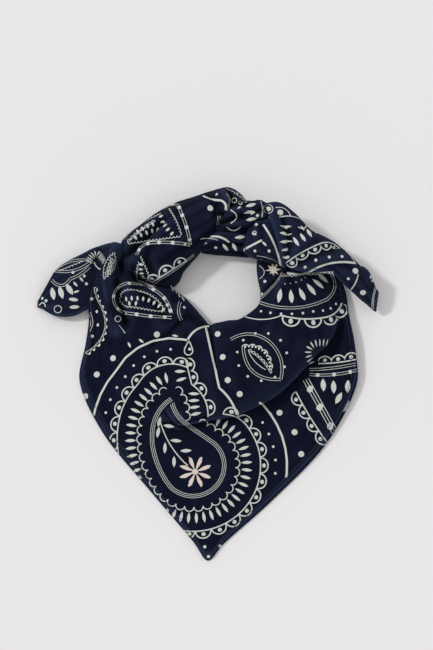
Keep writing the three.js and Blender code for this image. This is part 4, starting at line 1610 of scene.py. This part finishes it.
        (-6, -72), (14, -62), (26, -42), (22, -20), (4, -8), (-20, -4), (-40, 14), (-50, 34),
        (-46, 6), (-38, -22), (-26, -50), (-6, -72),
    ), side=Side.BELOW),
    *(Stroke(BIG_DOT, ((x - 2.8, y), (x + 2.8, y)), side=Side.BELOW) for x, y in (
        (-70, 92), (-56, 104), (-40, 114), (-24, 122), (-6, 128), (10, 132), (48, -10), (40, 10),
        (56, 24), (66, 52), (54, 70), (-30, 44), (-12, 26), (10, 18),
    )),
)


# The creases of each piece: line, rise, spread and share of the pinch, in millimetres.
FRONT_CREASES = (
    Crease(((-71.2, 106.8), (-77.6, 91.1), (-80.8, 72), (-80, 53), (-73.6, 32.3)), 4.5, 6),
    Crease((
        (-67.2, 96.9), (-69.6, 91.1), (-71.2, 84.5), (-72, 72.9), (-71.2, 59.6), (-66.4, 41.4),
    ), -8.5, 4.4, 0.35),
    Crease(((-60.8, 59.6), (-65.6, 34.8), (-69.6, 9.9)), 1.6, 9),
    Crease(((-38.4, 34.8), (-54.4, 11.6), (-68.8, -16.6)), 1.8, 11),
    Crease(((-20, 44.7), (-32, 32.3), (-44.8, 24)), -2.6, 5, 0.3),
    Crease(((-40.8, -43.1), (-26.4, -42.2), (-14.4, -40.6), (-0.8, -38.1)), -1.7, 3.2, 0.5),
    Crease(((-46.4, -34.8), (-28.8, -34.8), (-9.6, -32.3), (4.8, -29.8)), 0.9, 6),
    Crease(((-26.4, 59.6), (-12.8, 46.4), (-1.6, 38.9)), -1.8, 5),
    Crease(((-57.6, 69.6), (-46.4, 59.6), (-32, 44.7)), -2.6, 6, 0.2),
    Crease(((-46.4, 71.2), (-34.4, 62.1), (-20.8, 49.7)), 2.2, 5),
    Crease(((1.6, 38.1), (4, 22.4), (6.4, 0)), -1.6, 3.4, 0.5),
    Crease(((8.8, 34.8), (14.4, 16.6), (19.2, -10.8)), 1.8, 8),
    Crease(((-6.4, 30.6), (-2.4, 5.8), (4.8, -21.5)), 1.8, 8),
    Crease(((25.6, 34.8), (43.2, 8.3), (61.6, -6.6)), -1.2, 9),
    Crease(((49.6, 30.6), (70.4, 22.4), (88, 22.4)), 1.6, 9),
    Crease(((61.6, 83.6), (48, 69.6), (35.2, 53)), -1.8, 3.2, 0.4),
    Crease(((60.8, 82.8), (55.2, 66.2), (51.2, 49.7)), 1.5, 4, 0.2),
    Crease(((63.2, 82.8), (70.4, 67.9), (76, 55.5)), -1.5, 3.6, 0.3),
    Crease(((67.2, 82), (83.2, 69.6), (94.4, 62.1)), 1.4, 4.5, 0.2),
    Crease(((73.6, 82.8), (88, 79.5), (100.8, 72.9)), -1.4, 3.6, 0.3),
    Crease(((40, 91.1), (42.4, 76.2), (38.4, 59.6)), 1.2, 3.5, 0.2),
    Crease(((-89.6, 59.6), (-92.8, 38.9), (-96, 18.2)), -1.5, 5),
    Crease(((-34.4, -49.7), (-6.4, -81.1), (16, -110.1)), 0.9, 16),
    Crease(((33.6, -48), (48, -68.7), (43.2, -97.7)), -0.8, 14),
    Crease(((73.6, -10.8), (91.2, -31.5), (99.2, -56.3)), 1.2, 11),
    Crease(((97.6, 18.2), (109.6, 0), (113.6, -19)), -1, 8),
    Crease(((-78.4, -10.8), (-62.4, -43.9), (-46.4, -81.1)), 0.9, 12),
)
BACK_CREASES = (
    Crease((
        (-70.4, 94.4), (-64, 99.4), (-59.2, 106), (-52, 112.6), (-44.8, 120.1), (-38.4, 126.7),
    ), -9, 4.4, 0.4),
    Crease(((-72, 101), (-65.6, 108.5), (-57.6, 116.7), (-48, 125.9)), 2.4, 4.5),
    Crease(((-61.6, 91.1), (-58.4, 82.8), (-53.6, 77)), 2.5, 6),
    Crease(((-46.4, 106), (-49.6, 94.4), (-46.4, 82.8)), -3.4, 5, 0.3),
    Crease(((-28.8, 104.3), (-18.4, 115.9), (-3.2, 128.3)), 1.6, 8),
    Crease(((-36, 91.1), (-25.6, 99.4), (-14.4, 105.2)), -2.4, 4.5, 0.3),
    Crease(((-26.4, 130.8), (-17.6, 120.9), (-14.4, 109.3)), -1.4, 6),
    Crease(((0, 149), (4.8, 139.9), (6.4, 129.2)), -2.4, 3.6, 0.3),
    Crease(((11.2, 150.7), (14.4, 144.1), (14.4, 134.1)), 2.8, 2.8),
    Crease(((16.8, 150.7), (20, 143.2), (19.2, 135.8)), -4, 2.6, 0.4),
)
ROLL_CREASES = (
    Crease(((11.2, 129.2), (22.4, 135.8), (36.8, 142.4), (51.2, 145.7)), 2.2, 4),
    Crease(((9.6, 123.4), (24, 128.3), (38.4, 133.3), (54.4, 136.6)), -4.2, 2.8, 0.4),
    Crease(((12.8, 117.6), (27.2, 120.9), (43.2, 124.2)), 2.4, 3),
    Crease(((8, 132.5), (16, 135.8), (24, 140.8)), -3, 2.6, 0.4),
    Crease(((44.8, 142.4), (49.6, 135.8), (51.2, 125.9)), -2.6, 2.6, 0.4),
    Crease(((24, 138.3), (35.2, 137.4), (46.4, 139.1)), -2, 2.2, 0.4),
)
STRAND_CREASES = (
    Crease(((-8, 106.8), (4.8, 112.6), (19.2, 114.3), (35.2, 111)), 2.2, 3.5),
    Crease(((-3.2, 115.9), (11.2, 120.1), (25.6, 117.6), (38.4, 115.9)), -4.2, 2.8, 0.4),
    Crease(((-2.4, 101), (14.4, 104.3), (33.6, 104.3)), -2.8, 2.6, 0.4),
)
CROSS_CREASES = (
    Crease(((43.2, 124.2), (48, 112.6), (54.4, 99.4), (60, 87.8)), 2.6, 3),
    Crease(((49.6, 124.2), (54.4, 112.6), (59.2, 101), (63.2, 89.4)), -4.4, 2.8, 0.4),
    Crease(((35.2, 115.9), (43.2, 106), (52.8, 96)), -2, 3, 0.3),
    Crease(((33.6, 102.7), (43.2, 97.7), (54.4, 91.1)), 1.4, 3, 0.2),
)
RIGHT_TAIL_CREASES = (
    Crease(((62.4, 86.1), (70.4, 101), (83.2, 114.3), (97.6, 122.5)), 2, 4),
    Crease(((62.4, 87.8), (64, 101), (64, 115.9), (59.2, 129.2)), -4.4, 3.2, 0.4),
    Crease(((67.2, 86.1), (83.2, 96), (102.4, 104.3)), -1.6, 4, 0.3),
    Crease(((70.4, 84.5), (91.2, 91.1), (113.6, 94.4), (131.2, 79.5)), 1.8, 5),
    Crease(((97.6, 91.1), (115.2, 86.1), (129.6, 67.9)), -1.6, 4, 0.2),
    Crease(((73.6, 138.3), (88, 124.2), (97.6, 109.3)), 1.2, 6),
    Crease(((83.2, 132.5), (97.6, 117.6), (110.4, 104.3)), -1.4, 4, 0.3),
    Crease(((117.6, 94.4), (126.4, 82.8), (132.8, 66.2)), 1.2, 3, 0.2),
)
LEFT_TAIL_CREASES = (
    Crease(((-126.4, 69.6), (-113.6, 79.5), (-102.4, 85.3), (-89.6, 90.3)), -2.6, 3, 0.4),
    Crease(((-129.6, 59.6), (-115.2, 72.9), (-100.8, 80.3), (-89.6, 86.9)), 2, 3.6),
    Crease(((-121.6, 56.3), (-107.2, 67.9), (-97.6, 76.2), (-89.6, 84.5)), -2, 3, 0.3),
    Crease(((-104, 53), (-97.6, 66.2), (-92, 79.5)), 1.6, 3.4),
    Crease(((-96, 54.6), (-92.8, 67.9), (-89.6, 81.1)), -1.6, 3, 0.3),
    Crease(((-118.4, 86.1), (-104, 91.1), (-91.2, 94.4)), 1.2, 3),
)


def stored(tree: bpy.types.NodeTree, name: str, kind: str) -> bpy.types.NodeSocket:
    """An attribute of the mesh, as its number (Fac) or its three numbers (Vector)."""
    return node(tree, "ShaderNodeAttribute", {"attribute_name": name}).outputs[kind]


def noise(
    tree: bpy.types.NodeTree, place: bpy.types.NodeSocket, size: float, detail: float
) -> bpy.types.NodeSocket:
    """Cloudy values from 0 to 1, as large as this in millimetres."""
    settings = {"Scale": 1 / (size * MM), "Detail": detail}
    return node(tree, "ShaderNodeTexNoise", settings, {"Vector": place}).outputs["Fac"]


def bands(
    tree: bpy.types.NodeTree, place: bpy.types.NodeSocket, way: str, pitch: float, sway: float = 0.0
) -> bpy.types.NodeSocket:
    """Bands of one pitch in millimetres, as heights from 0 to 1."""
    settings = {"bands_direction": way, "Scale": 1 / (pitch * MM) / math.pi / 2, "Distortion": sway}
    return node(tree, "ShaderNodeTexWave", settings, {"Vector": place}).outputs["Fac"]


def bump(
    tree: bpy.types.NodeTree,
    height: bpy.types.NodeSocket,
    strength: float,
    depth: float,
    under: bpy.types.NodeSocket | None = None,
) -> bpy.types.NodeSocket:
    """Normals of a surface with these heights.

    Args:
        tree: The tree.
        height: Heights from 0 to 1.
        strength: How strongly they shade the surface, from 0 to 1.
        depth: How far the highest stands out, in millimetres.
        under: Normals of the surface under them.

    Returns:
        The normals.
    """
    links = {"Height": height, "Normal": under} if under else {"Height": height}
    settings = {"Strength": strength, "Distance": depth * MM}
    return node(tree, "ShaderNodeBump", settings, links).outputs["Normal"]


@dataclass(frozen=True)
class CottonFinish:
    """Bandana cotton: plain weave, dyed navy and screen printed, with a soft washed hand.

    Attributes:
        fold_shade: Colour of the ground in the folds, painted shade.
        ground: Its colour on the level cloth.
        faded_and_highlight: Its colour on the ridges and the tied ends, a slate blue: partly wear, partly
            painted highlight.
        ink: The off-white print.
        warm_ink: The pinkish cream of the star flowers.
        thread_pitch: Distance between two threads of the weave, in millimetres. The real one is
            0.4, which a picture of the whole can't show, so the weave is drawn coarser.
        thread_sway: How unevenly they run.
        weave_depth: How far its threads stand out.
        weave_strength: How strongly they shade the cloth, from 0 to 1.
        thin_ink: How much thinner the ink is in the weave's hollows.
        crumple: Size of the small crumples that washing and handling leave.
        crumple_depth: How far they stand out.
        crumple_strength: How strongly they shade the cloth.
        crumple_detail: How many finer crumples they carry.
        patch: Size of the uneven patches of colour that washing leaves.
        patch_detail: How many finer patches they carry.
        patch_strength: How much they change the painted shade and wear.
        ground_shade_and_wear: The value of painted shade and wear at which the cloth has its level
            colour.
        roughness: Of the matt cloth.
        shine: Its specular level, low as cotton is.
        fuzz: Weight of the sheen that the nap gives at grazing angles.
        fuzz_spread: How softly that sheen spreads.
        fuzz_colour: Its colour.
    """

    # Painted shade of the folds.
    fold_shade: str = "#05060f"
    ground: str = "#0d1123"
    # Painted highlight of the ridges, with wear.
    faded_and_highlight: str = "#242c42"
    ink: str = "#cdd2ca"
    warm_ink: str = "#ddd0c6"
    thread_pitch: float = 0.8
    thread_sway: float = 0.6
    weave_depth: float = 0.06
    weave_strength: float = 0.4
    thin_ink: float = 0.18
    crumple: float = 9.0
    crumple_depth: float = 1.1
    crumple_strength: float = 0.6
    crumple_detail: float = 4.0
    patch: float = 22.0
    patch_detail: float = 3.0
    patch_strength: float = 0.3
    ground_shade_and_wear: float = 0.35
    roughness: float = 0.9
    shine: float = 0.06
    fuzz: float = 0.025
    fuzz_spread: float = 0.5
    fuzz_colour: str = "#b9c6dc"

    def material(self) -> bpy.types.Material:
        """Makes the printed cotton."""
        made, shader = new_material("printed_plain_weave_cotton", {
            "Roughness": self.roughness,
            "Specular IOR Level": self.shine,
            "Sheen Weight": self.fuzz,
            "Sheen Roughness": self.fuzz_spread,
            "Sheen Tint": linear(self.fuzz_colour),
        })
        tree = made.node_tree
        place = node(tree, "ShaderNodeTexCoord").outputs["Object"]
        height = self.weave(tree, place)
        ground = self.ground_colour(tree, place)
        warm = stored(tree, "warm_ink", "Fac")
        settings = {"data_type": "RGBA", 6: linear(self.ink), 7: linear(self.warm_ink)}
        paint = node(tree, "ShaderNodeMix", settings, {0: warm}).outputs[2]
        cover = maths(tree, "ADD", 1 - self.thin_ink, maths(tree, "MULTIPLY", height, self.thin_ink))
        ink = maths(tree, "MULTIPLY", self.print_mask(tree), cover)
        colour = node(tree, "ShaderNodeMix", {"data_type": "RGBA"}, {0: ink, 6: ground, 7: paint})
        tree.links.new(colour.outputs[2], shader.inputs["Base Color"])
        crumple = noise(tree, place, self.crumple, self.crumple_detail)
        soft = bump(tree, crumple, self.crumple_strength, self.crumple_depth)
        fine = bump(tree, height, self.weave_strength, self.weave_depth, soft)
        tree.links.new(fine, shader.inputs["Normal"])
        return made

    def ground_colour(
        self, tree: bpy.types.NodeTree, place: bpy.types.NodeSocket
    ) -> bpy.types.NodeSocket:
        """The dyed ground: painted shade in the folds, painted highlight and wear on the ridges, a little
        patchy.
        """
        patch = maths(tree, "SUBTRACT", noise(tree, place, self.patch, self.patch_detail), 0.5)
        patch = maths(tree, "MULTIPLY", patch, self.patch_strength)
        shade_and_wear = maths(tree, "ADD", stored(tree, "shade_and_wear", "Fac"), patch)
        # Ramp from the painted shade of the folds to the painted highlight of the ridges.
        ground = node(tree, "ShaderNodeValToRGB", links={"Fac": shade_and_wear})
        ramp = ground.color_ramp
        ramp.elements[0].color = linear(self.fold_shade)
        ramp.elements[1].color = linear(self.faded_and_highlight)
        ramp.elements.new(self.ground_shade_and_wear).color = linear(self.ground)
        return ground.outputs["Color"]

    def weave(self, tree: bpy.types.NodeTree, place: bpy.types.NodeSocket) -> bpy.types.NodeSocket:
        """Crossing threads: two wave patterns at right angles, as heights from 0 to 1."""
        threads = [bands(tree, place, way, self.thread_pitch, self.thread_sway) for way in ("X", "Y")]
        return maths(tree, "MULTIPLY", maths(tree, "ADD", *threads), 0.5)

    def print_mask(self, tree: bpy.types.NodeTree) -> bpy.types.NodeSocket:
        """1 where one of a face's strokes leaves ink, else 0."""
        group = row_group()
        ink = None
        for k in range(ROWS):
            parts = {part: stored(tree, f"row{k}_{part}", "Vector") for part in ROW_PARTS}
            row = node(tree, "ShaderNodeGroup", {"node_tree": group}, parts).outputs[0]
            ink = row if ink is None else maths(tree, "MAXIMUM", ink, row)
        return ink


@dataclass(frozen=True)
class ThreadFinish:
    """Spun polyester sewing thread, navy: two fine plies with a slight gloss.

    Attributes:
        colour: Of its plies.
        groove_shade: Colour of the grooves between them, painted shade.
        roughness: Of its surface.
        twist_pitch: Distance between two plies along it, in millimetres.
    """

    colour: str = "#232a40"
    groove_shade: str = "#161b2e"
    roughness: float = 0.55
    twist_pitch: float = 0.5

    def material(self) -> bpy.types.Material:
        """Makes the sewing thread, its plies as slanting bands with painted shade in the grooves between
        them.
        """
        made, shader = new_material("spun_polyester_sewing_thread", {"Roughness": self.roughness})
        tree = made.node_tree
        place = node(tree, "ShaderNodeTexCoord").outputs["Object"]
        twist = bands(tree, place, "DIAGONAL", self.twist_pitch)
        # Painted shade in the grooves between the plies.
        settings = {"data_type": "RGBA", 6: linear(self.groove_shade), 7: linear(self.colour)}
        colour = node(tree, "ShaderNodeMix", settings, {0: twist})
        tree.links.new(colour.outputs[2], shader.inputs["Base Color"])
        return made


@dataclass(frozen=True)
class HemStitches:
    """A row of machine stitches along a hem, set out by a node tree.

    Attributes:
        inset: Distance of the row from the cloth's edge, in millimetres.
        pitch: Distance between the starts of two stitches.
        length: Length of one stitch.
        thread: Thickness of the thread. The real one is 0.3, drawn thicker so that it shows.
        sides: Sides of a stitch's round.
        lift: How far the thread lies above the cloth.
        uneven: Least and greatest length of a stitch, as a share of its length.
        seed: Start of the random draws for their uneven length.
    """

    inset: float = 3.6
    pitch: float = 2.6
    length: float = 1.8
    thread: float = 0.42
    sides: int = 6
    lift: float = 0.02
    uneven: tuple[float, float] = (0.85, 1.1)
    seed: int = 7

    def row(self, grid: np.ndarray) -> np.ndarray:
        """The points of the row, a little above a grid whose last column is the hem."""
        back = grid[:, ::-1]
        lifted = back + grid_normals(grid)[:, ::-1] * (0.5 * self.thread + self.lift)
        return np.array([
            [np.interp(self.inset, inwards, points[:, axis]) for axis in range(3)]
            for inwards, points in zip(walked(back), lifted)
        ])

    def tree(self) -> bpy.types.GeometryNodeTree:
        """The nodes that set a thread on every pitch of a line."""
        tree = bpy.data.node_groups.new("hem_stitches", "GeometryNodeTree")
        tree.interface.new_socket("Geometry", in_out="INPUT", socket_type="NodeSocketGeometry")
        for name, kind in (("Pitch", "Float"), ("Length", "Float"), ("Thread", "Float"), ("Seed", "Int")):
            tree.interface.new_socket(name, in_out="INPUT", socket_type=f"NodeSocket{kind}")
        tree.interface.new_socket("Finish", in_out="INPUT", socket_type="NodeSocketMaterial")
        tree.interface.new_socket("Geometry", in_out="OUTPUT", socket_type="NodeSocketGeometry")
        given = node(tree, "NodeGroupInput").outputs
        line = node(tree, "GeometryNodeMeshToCurve", links={0: given["Geometry"]})
        links = {"Curve": line.outputs[0], "Length": given["Pitch"]}
        spots = node(tree, "GeometryNodeResampleCurve", {"mode": "LENGTH"}, links)
        links = {"Radius": maths(tree, "MULTIPLY", given["Thread"], 0.5), "Depth": given["Length"]}
        thread = node(tree, "GeometryNodeMeshCylinder", {"Vertices": self.sides}, links)
        way = node(tree, "GeometryNodeInputTangent").outputs[0]
        turn = node(tree, "FunctionNodeAlignRotationToVector", {"axis": "Z"}, {"Vector": way})
        least, most = self.uneven
        settings = {"data_type": "FLOAT", 2: least, 3: most}
        uneven = node(tree, "FunctionNodeRandomValue", settings, {"Seed": given["Seed"]})
        size = node(tree, "ShaderNodeCombineXYZ", {0: 1.0, 1: 1.0}, {2: uneven.outputs[1]})
        parts = {"Points": spots, "Instance": thread, "Rotation": turn, "Scale": size}
        links = {name: part.outputs[0] for name, part in parts.items()}
        laid = node(tree, "GeometryNodeInstanceOnPoints", links=links)
        real = node(tree, "GeometryNodeRealizeInstances", links={0: laid.outputs[0]})
        links = {0: real.outputs[0], "Material": given["Finish"]}
        dyed = node(tree, "GeometryNodeSetMaterial", links=links)
        node(tree, "NodeGroupOutput", links={0: dyed.outputs[0]})
        return tree

    def build(self, name: str, grid: np.ndarray, material: bpy.types.Material) -> bpy.types.Object:
        """Makes the stitches of a hem as one piece."""
        points = (self.row(grid) + SHIFT) * MM
        mesh = bpy.data.meshes.new(name)
        mesh.from_pydata(points.tolist(), [(k, k + 1) for k in range(len(points) - 1)], [])
        obj = linked(name, mesh)
        modifier = obj.modifiers.new("stitches", "NODES")
        modifier.node_group = self.tree()
        values = {
            "Pitch": self.pitch * MM, "Length": self.length * MM, "Thread": self.thread * MM,
            "Seed": self.seed, "Finish": material,
        }
        for socket in modifier.node_group.interface.items_tree:
            if socket.in_out == "INPUT" and socket.name in values:
                modifier[socket.identifier] = values[socket.name]
        settle(obj)
        return obj


def store_shade_and_wear(piece: bpy.types.Object, base: float) -> None:
    """Stores each point's painted light and shade, with wear: lighter on ridges and edges, darker in
    folds.

    Args:
        piece: The piece of cloth.
        base: How light its level cloth is painted, from 0 to 1.
    """
    mesh = piece.data
    points, normals = read(mesh.vertices, "co", 3) / MM, read(mesh.vertices, "normal", 3)
    ends = read(mesh.edges, "vertices", 2, int)
    start, end = ends.T
    way = points[end] - points[start]
    size = np.maximum((way**2).sum(axis=1), SHADE_AND_WEAR_SHORTEST)
    count = np.bincount(ends.ravel(), minlength=len(points))
    bend = np.bincount(start, (way * normals[start]).sum(axis=1) / size, len(points))
    bend -= np.bincount(end, (way * normals[end]).sum(axis=1) / size, len(points))
    bend /= count
    for _ in range(SHADE_AND_WEAR_EASINGS):
        around = np.bincount(start, bend[end], len(points))
        around += np.bincount(end, bend[start], len(points))
        bend = 0.5 * bend + 0.5 * around / count
    # Painted shade in the folds and painted highlight, with wear, on the ridges.
    shade_and_wear = mesh.attributes.new("shade_and_wear", "FLOAT", "POINT")
    shade_and_wear.data.foreach_set("value", np.clip(base - SHADE_AND_WEAR_PER_BEND * bend, 0, 1))


@dataclass(frozen=True)
class Lay:
    """How a piece of cloth lies and what it was cut to.

    Attributes:
        shade_and_wear: How light its level cloth is painted, partly wear and partly painted light and
            shade.
        flat: Width and length of its cloth, laid flat, in metres. Not used.
        held: How it is held. Not used.
        rests_on: What it lies on. Not used.
        area: Its flat area in square metres, where the cut isn't a rectangle. Not used.
    """

    shade_and_wear: float
    flat: tuple[float, float]
    held: str
    rests_on: tuple[str, ...]
    area: float | None = None


# Each piece's first number sets how light its level cloth is painted: partly wear, partly painted light
# and shade, darker for the knot's roll and lower strand, lighter for the tails.
LAYS = {
    "front_panel": Lay(0.33, (0.26, 0.3), "laid", ("hidden_layers",), 0.046),
    "right_tail": Lay(0.46, (0.055, 0.1), "folded", ("front_panel",)),
    "left_tail": Lay(0.44, (0.05, 0.07), "folded", ("table_top",)),
    "back_band": Lay(0.3, (0.085, 0.11), "folded", ("table_top",)),
    "knot_roll": Lay(0.24, (0.042, 0.08), "folded", ("table_top",)),
    "lower_strand": Lay(0.25, (0.045, 0.05), "folded", ("table_top",)),
    "knot_cross": Lay(0.4, (0.042, 0.045), "folded", ("lower_strand",)),
    "hidden_layers": Lay(0.3, (0.26, 0.3), "folded", ("table_top",), 0.041),
}


def main() -> None:
    """Builds every piece in order, dresses it and ties it to the frame."""
    logging.basicConfig(level=logging.INFO)
    studio = Studio()
    studio.camera()
    front = Front(creases=FRONT_CREASES)
    tail = Tail("cloth_right_tail", RIGHT_TAIL, RIGHT_TAIL_CREASES, Gathers(1.3, 17, 3))
    rolls = (
        ("left_tail", LEFT_TAIL, LEFT_TAIL_CREASES, Gathers(1.2, 15, 5), 0),
        ("back_band", LOOP_BACK, BACK_CREASES, Gathers(2.6, 17, 8), 0),
        ("knot_roll", KNOT_ROLL, ROLL_CREASES, Gathers(3.0, 10, 21), 0),
        ("lower_strand", LOWER_STRAND, STRAND_CREASES, Gathers(2.4, 9, 34), 0),
        ("knot_cross", KNOT_CROSS, CROSS_CREASES, Gathers(2.0, 12, 55), CROSS_BASE),
    )
    wholes = {
        "front_panel": front.build("cloth_front"),
        "right_tail": tail.build(),
        **{solid: Band(f"cloth_{solid}", *roll).build() for solid, *roll in rolls},
        "hidden_layers": front.build_under_layer("cloth_under_layer"),
    }
    cutters = [grown_copy(piece, CUT_GAP) for piece in wholes.values()]
    cotton = CottonFinish().material()
    for k, (solid, piece) in enumerate(wholes.items()):
        first = 1 if solid == "hidden_layers" else 0
        if cutters[first:k]:
            cut_clear(piece, cutters[first:k])
        piece.data.shade_smooth()
        piece.data.set_sharp_from_angle(angle=math.radians(SHARP_ANGLE))
        piece.data.materials.clear()
        piece.data.materials.append(cotton)
        store_shade_and_wear(piece, LAYS[solid].shade_and_wear)
        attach(piece, "root")
        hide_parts(solid)
        faces = piece.data.polygons
        LOG.info("%s: %d faces, %.5f m2", piece.name, len(faces), sum(face.area for face in faces))
    for cutter in cutters:
        bpy.data.objects.remove(cutter)
    thread = ThreadFinish().material()
    stitches = HemStitches()
    front_hem = front.grid()[HEM_HIDDEN_ROWS:-HEM_HIDDEN_ROWS]
    hems = {
        "front_panel": stitches.build("front_hem_stitches", front_hem, thread),
        "right_tail": stitches.build("right_tail_hem_stitches", tail.grid(), thread),
    }
    for piece in hems.values():
        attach(piece, "root")
        LOG.info("%s: %d faces", piece.name, len(piece.data.polygons))
    printer = Printer(list(wholes.values()))
    for stroke in PRINT:
        printer.lay(stroke)
    printer.store()
    studio.floor()
    studio.light()


if __name__ == "__main__":
    main()
